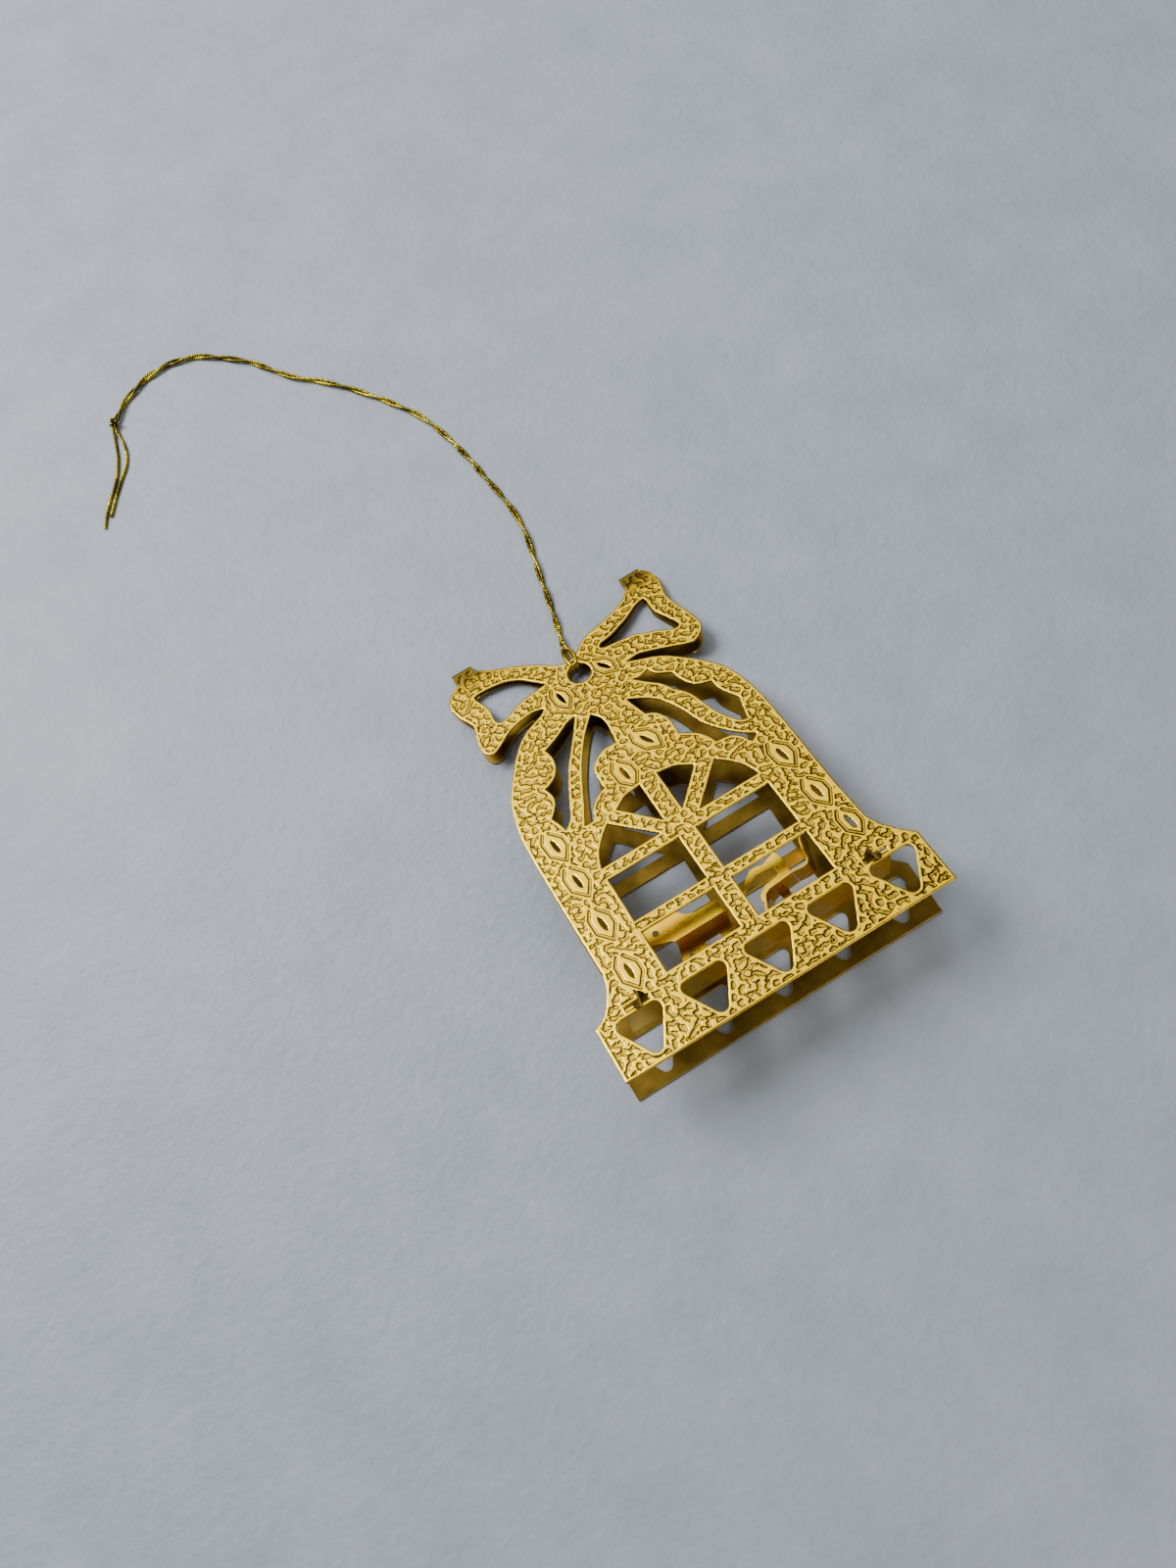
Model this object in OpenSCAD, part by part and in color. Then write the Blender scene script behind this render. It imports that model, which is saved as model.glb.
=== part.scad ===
// Folding sheet-brass bell ornament with a clip for a miniature light inside, and its hanging cord

/* [Bell] */
// Width of the bell between its straight sides
body_w = 42; // [36:0.5:60]
// Width of the flared band at the base
band_w = 50.6; // [48:0.1:70]
// Depth of the band from the window sill down to the base edge
band_drop = 10; // [9.6:0.1:14]
// Height of the band's upright ends
band_end_h = 8.3; // [6:0.1:9]
// Thickness of the brass sheet
sheet_t = 0.35; // [0.2:0.01:0.45]

/* [Fold] */
// Angle between the front face and the back face
wedge_angle = 12; // [9:0.5:16]
// Free gap between the two faces at the crease
fold_gap = 0.2; // [0.15:0.01:0.4]
// How far the straps reach past the crease before they turn back
strap_reach = 2.9; // [2.6:0.1:5]
// Width of each strap
strap_w = 3.5; // [2:0.1:3.8]
// Gap left between a leaf and the strap at the crease line
crease_gap = 0.05; // [0.02:0.01:0.1]

/* [Window] */
// Left edge of the middle bar, measured from the centre line
mullion_left = 1.7; // [1:0.1:2.5]
// Right edge of the middle bar, measured from the centre line
mullion_right = 1.2; // [0.8:0.1:2.5]
// Half width of the window opening
window_half = 13.2; // [12:0.1:15]
// Height of the lower panes
lower_pane_h = 6.65; // [5:0.05:7.5]
// Height of the bar between the panes
pane_bar_h = 1.95; // [1:0.05:2.5]
// Height of the upper panes
upper_pane_h = 7.35; // [6:0.05:7.4]

/* [Base triangles] */
// Width of a triangle before its corners are rounded
triangle_w = 8.1; // [6:0.1:8.4]
// Height of a triangle before its corners are rounded
triangle_h = 7.3; // [5:0.1:7.4]
// Distance between neighbouring triangles
triangle_pitch = 9.9; // [9.6:0.05:10]
// Distance from the window sill down to the triangles
triangle_drop = 2.45; // [2.2:0.05:2.6]
// Radius of the triangles' corners
triangle_r = 1; // [0.3:0.1:1.2]

/* [Hanging hole] */
// Radius of the hole that the cord goes through
hang_r = 1.85; // [1.6:0.05:2]
// Radius of the small registration hole beside it
pin_hole_r = 0.35; // [0.2:0.05:0.4]

/* [Light clip] */
// Width of the shelf strip
shelf_w = 42.2; // [41:0.1:44]
// Depth that the shelf reaches behind the front face
shelf_depth = 8.6; // [7.5:0.1:9.5]
// Distance from the window sill down to the middle of the shelf
shelf_drop = 1.55; // [1.4:0.05:1.6]
// Depth of the jaws' front faces behind the front face
jaw_depth = 4.4; // [3.5:0.1:5]
// Width of each twist tab
tab_w = 2.3; // [1.5:0.1:2.5]
// Distance of each twist tab from the centre line
tab_place = 18.3; // [18:0.1:19]
// Height that a twisted tab stands above the front face
tab_rise = 1.1; // [0.6:0.1:2]
// Angle that each tab is twisted by
tab_twist = 80; // [30:5:90]
// Length of each slot that a tab comes through
slot_l = 3.6; // [3:0.1:3.8]
// Clearance of a tab in its slot
slot_clear = 0.2; // [0.1:0.01:0.25]

/* [Cord] */
// Diameter of one strand of the cord
strand_d = 0.5; // [0.3:0.05:0.6]
// Diameter of the two strands twisted together
pair_d = 1.05; // [0.8:0.05:1.3]
// Diameter of the knot
knot_d = 1.9; // [1.5:0.1:2.5]

/* [Hidden] */

// Overrun of a cutter past the face that it goes through
cut_over = 0.5;
// Points that a smooth curve gets between two drawn points
curve_steps = 2;
// Segments of a round corner
corner_steps = 5;
// Layers of a twisted tab
twist_slices = 8;
// The outlines are drawn in this many equal shares of the body's width
width_share = 42;

// Colours of the etched faces, the bare inner pieces and the cord
brass = "#E3C670";
brass_inside = "#B88A35";
cord_gold = "#B79A3C";

// Places shared by every piece, measured up the face from the window sill
crease_share = 57.5;
crease_y = body_w * crease_share / width_share;
strap_top_y = crease_y + strap_reach;
mid_y = (strap_top_y - band_drop) / 2;
crease_z = 2 * sheet_t + fold_gap;
// Centres of the hanging hole and of the registration hole
hang_shares = [0.3, 48.85];
pin_hole_shares = [-1.8, 51.3];
// The middle triangle's place across the bell
triangle_mid_share = 0.3;

// Outline of the bell, as runs of smooth curve that meet in corners
right_side_shares = [[21.2, 4], [20.85, 9], [20.8, 16], [20.8, 23], [20.6, 29], [20.1, 32.6], [19.2, 35.8],
    [17.9, 38], [16, 40.3], [13.5, 42.8], [11.5, 44.3], [9, 45.4], [7.35, 46.2]];
right_bow_shares = [[7.35, 46.2], [9, 46.4], [10.5, 46], [13.5, 44.75], [16, 43.6], [17.7, 43.15], [19.2, 43.8],
    [20.1, 44.9], [20.3, 46.3], [19.6, 49.2], [18.9, 52], [18.8, 53.8], [19.4, 56.4], [19.1, 58.4],
    [17.9, 59.8]];
right_top_shares = [[14, 58.2], [13.4, 57.5], [12, 56.5], [9, 55.4], [5, 54.5], [3.5, 53.9], [2.4, 53],
    [1.2, 52.1], [0, 51.9], [-1.3, 52], [-2.6, 52.8], [-5, 54.7], [-8, 56.5], [-11, 57.9], [-12.8, 59]];
left_bow_shares = [[-16.9, 58.2], [-18.2, 57.6], [-19.3, 56.3], [-19.5, 54.8], [-18.9, 52.6], [-17.9, 50.3],
    [-18.4, 48.4], [-18.8, 46.3], [-18.6, 44.8], [-17.6, 43.95], [-15.9, 44.6], [-14, 45.8], [-11.9, 46.6],
    [-9.3, 46.9], [-7.35, 46.4]];
left_side_shares = [[-7.35, 46.4], [-8.5, 45.6], [-10.8, 44.7], [-13, 43.4], [-15.2, 41], [-17, 38.5],
    [-19, 35.2], [-20, 32], [-20.6, 28.5], [-20.8, 23], [-20.8, 12], [-20.7, 4.5]];

left_bow_hole_shares = [
    [[-5, 50.3], [-6.5, 51.9], [-8, 53.4], [-10, 54.5], [-12.2, 54.95], [-14, 55.1], [-15.5, 54.9],
        [-15.1, 53.5], [-14.6, 52], [-14.5, 50.75], [-14.65, 49.4], [-14.3, 48.5], [-13.5, 48.3],
        [-12, 48.8], [-10, 49.6], [-7.5, 50.05], [-5, 50.3]]];
right_bow_hole_shares = [
    [[5.3, 51.1], [6, 50.65], [8.5, 50.3], [11.2, 49.75], [12.2, 49.1], [13.8, 48.5], [15.6, 47.4],
        [16.8, 46.95], [17.5, 47.4], [17, 48.8], [16.1, 50.8], [15.6, 52.2], [15.6, 54.5], [15.2, 55],
        [13.5, 54.5], [11.5, 53.4], [8, 52.1], [5.8, 51.7], [5.3, 51.1]]];

left_outer_ribbon_shares = [
    [[-4.1, 42.4], [-5.5, 42.1], [-8, 40.8], [-10.7, 39.7]],
    [[-10.7, 39.7], [-10.35, 38.2], [-10.7, 36.2], [-12, 34.6], [-13.8, 33.9]],
    [[-13.8, 33.9], [-13.35, 32], [-14, 30.4], [-15.3, 28.95]],
    [[-15.3, 28.95], [-14.9, 28], [-14.4, 26.3]],
    [[-14.4, 26.3], [-13, 27.6], [-11, 31.8], [-9.2, 35.1], [-7.5, 37.5], [-5.8, 39.8], [-4.1, 42.4]]];
left_inner_ribbon_shares = [
    [[-2, 41.1], [-1, 39.8], [-0.8, 37.8], [-1.2, 34.6]],
    [[-1.2, 34.6], [-3, 34.7], [-5, 33.9], [-6.3, 32.3], [-6.5, 29]],
    [[-6.5, 29], [-8, 28.4], [-9.5, 27], [-10.4, 25.25], [-11.8, 25.3]],
    [[-11.8, 25.3], [-10.2, 28.3], [-8.2, 32.6], [-6.2, 36], [-4, 39], [-2, 41.1]]];
right_outer_ribbon_shares = [
    [[6.4, 42.9], [7.4, 42.6], [9.2, 43]],
    [[9.2, 43], [9.9, 41.6], [12, 40.2]],
    [[12, 40.2], [12.3, 38.6], [13.6, 36.3], [15.95, 35.3]],
    [[15.95, 35.3], [16.2, 33.3], [17.7, 30.5]],
    [[17.7, 30.5], [17.2, 28.8], [16.7, 26.7]],
    [[16.7, 26.7], [15.5, 27.3], [13.7, 30.3], [12.9, 33.2], [12, 35.8], [10.7, 37.5], [9.7, 39.4],
        [8, 41.1], [6.4, 42.9]]];
right_inner_ribbon_shares = [
    [[3.9, 40.2], [4.3, 38.5], [4.95, 36.3]],
    [[4.95, 36.3], [6.2, 35.6], [7.3, 33.6], [7.2, 30.5]],
    [[7.2, 30.5], [9.4, 28.9], [10.5, 27.3], [10.9, 26.05]],
    [[10.9, 26.05], [13.3, 25.6], [14.6, 24.2], [15.2, 23.1], [16.4, 23.8]],
    [[16.4, 23.8], [15, 24.8], [13, 26.9], [11, 29.9], [9.7, 33.7], [8, 37], [6, 38.9], [3.9, 40.2]]];

fan_side_left_shares = [
    [[-3.5, 18], [-9, 23.6]],
    [[-9, 23.6], [-10.5, 22.3], [-12.2, 20.3], [-13.1, 18]],
    [[-13.1, 18], [-3.5, 18]]];
fan_middle_left_shares = [
    [[-2, 19.6], [-1.95, 26.4]],
    [[-1.95, 26.4], [-4.5, 26.1], [-6.7, 24.8]],
    [[-6.7, 24.8], [-2, 19.6]]];
fan_middle_right_shares = [
    [[1.15, 19.6], [6.2, 24.6]],
    [[6.2, 24.6], [3.8, 26.1], [1.15, 26.6]],
    [[1.15, 26.6], [1.15, 19.6]]];
fan_side_right_shares = [
    [[3.2, 18.1], [12.95, 18.1]],
    [[12.95, 18.1], [11.9, 20.7], [9.1, 23.7]],
    [[9.1, 23.7], [3.2, 18.1]]];

// The steps from the band's ends in to the sides
right_flare_shares = [[24, -0.5], [22, 2]];
left_flare_shares = [[-21.2, 2.6], [-22.2, 0.7], [-23.6, -0.9]];

// Left edge of each strap
left_strap_share = -16.8;
right_strap_share = 14.1;

// Slits in the middle of the leaf figures: centre, then the angle that each is turned by
slit_shares = [[-4.25, 46.5, 8], [4.1, 47.7, 34], [-2.75, 29.3, 8], [2.8, 32.4, 30], [-17, 24.8, 8],
    [-16.95, 18.2, 7], [-17.1, 10.7, 5], [-17.4, 2.8, 3], [17.4, 18.7, 10], [18, 11, 8], [19, 4.5, 8]];
// Length and width of a slit, and how far out along it the full width reaches
slit_l = 2.4;
slit_w = 0.5;
slit_bulge_share = 0.6;

// Jaws and finger of the light clip, seen from the front: along the bell's width, up from the sill
left_jaw_face_shares = [[-1.8, 4.6], [-1.8, 6.78], [-5.15, 6.8], [-6.5, 7.24], [-7.57, 8.37], [-8.2, 10],
    [-12.95, 10], [-12.95, 5.9], [-11.3, 5.3], [-10.25, 4.95], [-9.9, 4.6]];
left_jaw_eye_shares = [-11.5, 7.05];
left_jaw_eye_r = 0.45;
// The rear wall of the left jaw: its left edge at the root and at the top, and its right edge
left_jaw_root_shares = [-11.4, -9.6, -1.3];
left_jaw_window_shares = [[-6, 1], [-3.5, 1], [-3.5, 3.9], [-6, 3.9]];
left_jaw_notch_shares = [[-9, 3.1], [-8.1, 3.1], [-8.5, 3.8]];
left_web_y_share = 4.6;
left_jaw_top_y = body_w * left_web_y_share / width_share + sheet_t;
right_jaw_face_shares = [[1.5, 4.9], [1.7, 5.8], [4.27, 7.76], [5.1, 7.86], [6.33, 7.55], [7.88, 8.07],
    [8.7, 8.4], [9, 7.2], [9.1, 6], [8.91, 4.46], [5.1, 4.15], [4.07, 3.74], [3.65, 2.71], [3.3, 2.75],
    [3.6, 3.9], [4.99, 4.77], [6.85, 4.98], [7.36, 5.29], [7.57, 6.1], [7.16, 6.52], [4.58, 6.62],
    [3.24, 6]];
right_web_shares = [[9, 4.4], [5.2, 4.12], [4.25, 3.72], [3.75, 2.9], [3.05, 1.45], [2.4, 0.2]];
right_leg_shares = [6.7, 8.1];
right_leg_top_share = 4.15;
finger_shares = [[9.06, 4.4], [10.6, 4.25], [11.55, 4.35], [12.05, 5.2], [12.45, 6.8], [12.8, 8], [13.7, 9.2]];
// The web and the finger lean this far towards the right from their front edge to their rear edge
clip_lean_share = 1.1;
// Gap at the bend where a jaw springs from what carries it
root_gap = 0.05;

// Route of the cord over the front rim: across, up from the sill, and behind the front face
hitch_route = [[1.05, 55.3, 0.72], [0.95, 54.3, 0.76], [1.05, 53.1, 0.76], [1.2, 52, 0.7], [1.28, 51, 0.68],
    [1.25, 50.35, 0.68], [1.25, 50.02, 0.45], [1.25, 50, 0.1], [1.23, 50.1, -0.15], [1.2, 50.5, -0.35],
    [1.18, 51.3, -0.34], [1.15, 52.3, -0.32], [1, 53.4, -0.16], [0.75, 54.1, -0.03], [0.3, 54.3, 0],
    [-0.15, 54.1, -0.03], [-0.45, 53.4, -0.16], [-0.6, 52.3, -0.32], [-0.63, 51.3, -0.34],
    [-0.63, 50.5, -0.35], [-0.63, 50.1, -0.15], [-0.65, 50, 0.1], [-0.65, 50.02, 0.45],
    [-0.65, 50.35, 0.68], [-0.68, 51, 0.68], [-0.6, 52, 0.7], [-0.3, 53.1, 0.76], [0.2, 54.3, 0.76],
    [0.5, 55.3, 0.72]];
// Route of the doubled cord on the table: across, up from the middle of the part, and height
loop_route = [[0.78, 30.2, 0.75], [1.4, 32.5, 0.6], [2.1, 35.1, 0.54], [2.8, 38, 0.53], [3.5, 41.1, 0.53],
    [4.3, 44.5, 0.53], [5.2, 48.1, 0.53], [5.9, 51.4, 0.53], [6.2, 54.5, 0.53], [6.1, 57.7, 0.53],
    [5.8, 60.9, 0.53], [5.4, 64.2, 0.53], [5.1, 67.5, 0.53], [4.6, 70.8, 0.53], [4, 74.1, 0.53],
    [3.2, 77.4, 0.53], [2.1, 80.8, 0.53], [0.4, 84.1, 0.53], [-1.4, 87.1, 0.53], [-3.5, 90.3, 0.53],
    [-5.6, 93.2, 0.53], [-7.9, 96.1, 0.53], [-10.2, 98.5, 0.53], [-12.5, 100.8, 0.53],
    [-14.6, 103.5, 0.53], [-16.5, 106.5, 0.53], [-18.6, 109.4, 0.53], [-21.4, 112, 0.53],
    [-24.2, 114.5, 0.53], [-27, 116.1, 0.53], [-30, 116.9, 0.53], [-33, 117, 0.53],
    [-36.2, 116.4, 0.53], [-39.2, 115.1, 0.53], [-41.5, 113.6, 0.55], [-43.5, 111.6, 0.7]];
knot_place = [-44.1, 111, 0.95];
short_tail_route = [[-44.3, 110, 0.7], [-44.4, 108.3, 0.35], [-44.4, 106.3, 0.27], [-44.8, 104.2, 0.27],
    [-45.9, 102, 0.27], [-47.3, 100.4, 0.27], [-48.7, 98.7, 0.27], [-50, 97.1, 0.27], [-51.1, 95.6, 0.27],
    [-52.2, 94.2, 0.27]];
long_tail_route = [[-44.7, 110.1, 0.7], [-45.3, 108.4, 0.35], [-45.8, 106.5, 0.27], [-46.4, 104.5, 0.27],
    [-47.3, 102.5, 0.27], [-48.3, 100.7, 0.27], [-49.5, 99, 0.27], [-50.8, 97.5, 0.27], [-52, 95.9, 0.27],
    [-53, 94.4, 0.27], [-54, 92.7, 0.27]];
tube_sides = 8;

// A drawn point, or a list of them, at its real size
function drawn(shares) = shares * body_w / width_share;

function spline_at(a, b, c, d, t) = b + t * (c - a) / 2 + t * t * (a - 2.5 * b + 2 * c - d / 2)
    + t * t * t * (3 * b - 3 * c + d - a) / 2;

// A smooth curve through the points of a run, without its last point
function smooth(run) = let (last = len(run) - 1) [
    for (i = [0 : last - 1]) for (s = [0 : curve_steps - 1])
        spline_at(run[max(i - 1, 0)], run[i], run[i + 1], run[min(i + 2, last)], s / curve_steps)];

function end_of(run) = run[len(run) - 1];

// The closed outline that several runs make, at its real size
function outline(runs) = drawn([for (run = runs) each smooth(run)]);

function unit(v) = v / norm(v);

// The points of one corner, rounded to a radius
function corner(before, at, after, r) = let (
    u = unit(before - at),
    v = unit(after - at),
    half = acos(u * v) / 2,
    centre = at + unit(u + v) * r / sin(half),
    start = at + u * r / tan(half) - centre,
    turn = (cross(u, v) > 0 ? -1 : 1) * (180 - 2 * half))
    [for (i = [0 : corner_steps]) let (a = turn * i / corner_steps)
        centre + [start[0] * cos(a) - start[1] * sin(a), start[0] * sin(a) + start[1] * cos(a)]];

function rounded(points, r) = let (n = len(points))
    [for (i = [0 : n - 1]) each corner(points[(i + n - 1) % n], points[i], points[(i + 1) % n], r)];

// A tube with flat ends, swept along a route
module tube(route, d) {
    last = len(route) - 1;
    sides = tube_sides;
    rings = [for (i = [0 : last]) let (
        along = unit(route[min(i + 1, last)] - route[max(i - 1, 0)]),
        flat = abs(along[2]) > 0.9 ? [1, 0, 0] : [0, 0, 1],
        across = unit(cross(flat, along)),
        up = cross(along, across))
        for (k = [0 : sides - 1]) let (a = 360 * (k + 0.5) / sides)
            route[i] + (across * cos(a) + up * sin(a)) * d / 2];
    polyhedron(rings, concat(
        [[for (k = [0 : sides - 1]) k]],
        [for (i = [0 : last - 1]) for (k = [0 : sides - 1]) for (half = [0, 1])
            let (a = i * sides + k, b = i * sides + (k + 1) % sides)
            half == 0 ? [b + sides, b, a] : [a + sides, b + sides, a]],
        [[for (k = [sides - 1 : -1 : 0]) last * sides + k]]));
}

// A strip of sheet that stands behind the face and follows a path, leaning as it goes back
module standing_strip(path, front, rear, lean) {
    last = len(path) - 1;
    side = [for (i = [0 : last]) let (along = unit(path[min(i + 1, last)] - path[max(i - 1, 0)]))
        [-along[1], along[0]] * sheet_t / 2];
    loop = concat([for (i = [0 : last]) path[i] + side[i]], [for (i = [last : -1 : 0]) path[i] - side[i]]);
    n = len(loop);
    points = concat([for (p = loop) [p[0] + lean, p[1], -rear]], [for (p = loop) [p[0], p[1], -front]]);
    strips = [for (i = [0 : last - 1]) [i, i + 1, n - 2 - i, n - 1 - i]];
    polyhedron(points, concat(
        [for (q = strips) for (t = [[q[2], q[1], q[0]], [q[3], q[2], q[0]]]) t],
        [for (q = strips) for (t = [[q[0], q[1], q[2]], [q[0], q[2], q[3]]]) [for (k = t) k + n]],
        [for (i = [0 : n - 1]) for (t = [[i, (i + 1) % n + n, i + n], [i, (i + 1) % n, (i + 1) % n + n]]) t]));
}

// Puts what is drawn on the flat, with the sill on the X axis, where it lies in the part
module on_back() {
    translate([0, -mid_y, 0]) children();
}

// The same for the front leaf, whose outer face is at height zero and which is tilted at the crease
module on_front() {
    translate([0, crease_y - mid_y, crease_z]) rotate([-wedge_angle, 0, 0])
        translate([0, -crease_y, 0]) children();
}

module bell_outline() {
    band_half = band_w / 2;
    flare_y = band_end_h - band_drop;
    polygon(concat(
        [[-band_half, -band_drop], [band_half, -band_drop], [band_half, flare_y]],
        drawn(right_flare_shares),
        outline([right_side_shares, right_bow_shares, [end_of(right_bow_shares), right_top_shares[0]],
            right_top_shares, [end_of(right_top_shares), left_bow_shares[0]], left_bow_shares,
            left_side_shares]),
        [drawn(end_of(left_side_shares))],
        drawn(left_flare_shares),
        [[-band_half, flare_y]]));
}

module pane(left, right, low, height) {
    translate([left, low]) square([right - left, height]);
}

module window_openings() {
    upper = lower_pane_h + pane_bar_h;
    for (row = [[0, lower_pane_h], [upper, upper_pane_h]]) {
        pane(-window_half, -mullion_left, row[0], row[1]);
        pane(mullion_right, window_half, row[0], row[1]);
    }
    for (runs = [fan_side_left_shares, fan_middle_left_shares, fan_middle_right_shares,
        fan_side_right_shares]) polygon(outline(runs));
}

module ribbon_openings() {
    for (runs = [left_bow_hole_shares, right_bow_hole_shares, left_outer_ribbon_shares,
        left_inner_ribbon_shares, right_outer_ribbon_shares, right_inner_ribbon_shares])
        polygon(outline(runs));
}

module base_triangles() {
    half = triangle_w / 2;
    for (i = [-2 : 2]) translate([drawn(triangle_mid_share) + i * triangle_pitch, -triangle_drop])
        polygon(rounded([[-half, 0], [0, -triangle_h], [half, 0]], triangle_r));
}

module leaf_slits() {
    long = slit_l / 2;
    wide = slit_w / 2;
    for (s = slit_shares) translate(drawn([s[0], s[1]])) rotate(s[2])
        polygon([[0, -long], [wide, -long * slit_bulge_share], [wide, long * slit_bulge_share], [0, long],
            [-wide, long * slit_bulge_share], [-wide, -long * slit_bulge_share]]);
}

// One leaf of the bell up to the crease, lying with its underside at height zero
module leaf() {
    difference() {
        linear_extrude(height = sheet_t) difference() {
            intersection() {
                bell_outline();
                translate([-band_w, -2 * band_drop]) square([2 * band_w, crease_y - crease_gap + 2 * band_drop]);
            }
            window_openings();
            ribbon_openings();
            base_triangles();
            leaf_slits();
        }
        translate(concat(drawn(hang_shares), -cut_over)) cylinder(r = hang_r, h = sheet_t + 2 * cut_over, $fn = 48);
        translate(concat(drawn(pin_hole_shares), -cut_over))
            cylinder(r = pin_hole_r, h = sheet_t + 2 * cut_over, $fn = 24);
    }
}

module back_plate() {
    color(brass) on_back() leaf();
}

module tab_slot(side) {
    middle = tab_place - tab_w / 2 - slot_clear + slot_l / 2;
    height = sheet_t + 2 * slot_clear;
    translate([side * middle - slot_l / 2, -shelf_drop - height / 2, -sheet_t - cut_over])
        cube([slot_l, height, sheet_t + 2 * cut_over]);
}

module front_plate() {
    color(brass) on_front() difference() {
        translate([0, 0, -sheet_t]) leaf();
        tab_slot(-1);
        tab_slot(1);
    }
}

// The part of a bow tip past the crease, as one flat layer with its strap
module tip_layer(left, strap_left) {
    bend_r = crease_z / 2;
    linear_extrude(height = sheet_t) {
        intersection() {
            bell_outline();
            translate([left, crease_y]) square([band_w / 2, strap_reach]);
        }
        translate([strap_left, crease_y + crease_gap]) square([strap_w, strap_reach - bend_r - crease_gap]);
    }
}

// A bow tip, its strap and the hairpin bend that joins the two leaves
module fold_strap(left, strap_left) {
    bend_r = crease_z / 2;
    on_back() {
        tip_layer(left, strap_left);
        translate([0, 0, crease_z - sheet_t]) tip_layer(left, strap_left);
        translate([strap_left, strap_top_y - bend_r, bend_r]) rotate([0, 90, 0]) intersection() {
            difference() {
                cylinder(r = bend_r, h = strap_w, $fn = 40);
                translate([0, 0, -cut_over]) cylinder(r = fold_gap / 2, h = strap_w + 2 * cut_over, $fn = 40);
            }
            translate([-bend_r, 0, 0]) cube([2 * bend_r, bend_r, strap_w]);
        }
    }
}

module left_fold_strap() {
    color(brass) fold_strap(-band_w / 2, drawn(left_strap_share));
}

module right_fold_strap() {
    color(brass) fold_strap(0, drawn(right_strap_share));
}

module clip_shelf() {
    color(brass_inside) on_front()
        translate([-shelf_w / 2, -shelf_drop - sheet_t / 2, -shelf_depth])
            cube([shelf_w, sheet_t, shelf_depth - sheet_t]);
}

// A tab that comes through its slot and is twisted above the face
module twist_tab(side) {
    color(brass_inside) on_front() translate([side * tab_place, -shelf_drop, 0]) {
        translate([-tab_w / 2, -sheet_t / 2, -sheet_t]) cube([tab_w, sheet_t, sheet_t]);
        linear_extrude(height = tab_rise, twist = side * tab_twist, slices = twist_slices)
            square([tab_w, sheet_t], center = true);
    }
}

module left_twist_tab() {
    twist_tab(-1);
}

module right_twist_tab() {
    twist_tab(1);
}

// A flat piece of sheet parallel to the front face, with its front at a depth behind it
module upright(depth) {
    translate([0, 0, -depth]) linear_extrude(height = sheet_t) children();
}

module left_jaw() {
    root_y = -shelf_drop + sheet_t / 2 + root_gap;
    root = drawn(left_jaw_root_shares);
    color(brass_inside) on_front() {
        upright(jaw_depth) difference() {
            polygon(drawn(left_jaw_face_shares));
            translate(drawn(left_jaw_eye_shares)) circle(r = left_jaw_eye_r, $fn = 24);
        }
        translate([root[1], left_jaw_top_y - sheet_t, -shelf_depth])
            cube([root[2] - root[1], sheet_t, shelf_depth - jaw_depth + sheet_t]);
        upright(shelf_depth) difference() {
            polygon([[root[0], root_y], [root[2], root_y], [root[2], left_jaw_top_y], [root[1], left_jaw_top_y]]);
            polygon(drawn(left_jaw_window_shares));
            polygon(drawn(left_jaw_notch_shares));
        }
    }
}

module right_jaw() {
    root_y = -shelf_drop + sheet_t / 2 + root_gap;
    leg = drawn(right_leg_shares);
    color(brass_inside) on_front() {
        upright(jaw_depth) polygon(drawn(right_jaw_face_shares));
        standing_strip(drawn(right_web_shares), jaw_depth - sheet_t, shelf_depth, drawn(clip_lean_share));
        upright(shelf_depth) translate([leg[0], root_y])
            square([leg[1] - leg[0], drawn(right_leg_top_share) - root_y]);
    }
}

module spring_finger() {
    color(brass_inside) on_front()
        standing_strip(drawn([for (run = [finger_shares]) each smooth(run)]), jaw_depth - sheet_t, shelf_depth,
            drawn(clip_lean_share));
}

module cord_hitch() {
    color(cord_gold) on_front() tube([for (p = hitch_route) [p[0], p[1], -p[2]]], strand_d);
}

module cord_loop() {
    color(cord_gold) tube(loop_route, pair_d);
}

module cord_knot() {
    color(cord_gold) translate(knot_place) sphere(d = knot_d, $fn = 32);
}

module cord_tail_short() {
    color(cord_gold) tube(short_tail_route, strand_d);
}

module cord_tail_long() {
    color(cord_gold) tube(long_tail_route, strand_d);
}

back_plate();
front_plate();
left_fold_strap();
right_fold_strap();
clip_shelf();
left_twist_tab();
right_twist_tab();
left_jaw();
right_jaw();
spring_finger();
cord_hitch();
cord_loop();
cord_knot();
cord_tail_short();
cord_tail_long();
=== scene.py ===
# %% [markdown]
# # A folded brass bell ornament
# The real thing is one thin brass blank, pierced and etched, folded double at its bow and held open as a
# wedge by a small light clip. A doubled gold thread hangs from it. The CAD model gives the solids, and
# this lesson adds what the eye reads as metal and thread: etched lines, soft edges, plies and light.

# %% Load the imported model
import math

import bmesh
import bpy
import numpy as np
from mathutils import Matrix, Vector
from mathutils.geometry import delaunay_2d_cdt
from mathutils.kdtree import KDTree


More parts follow.
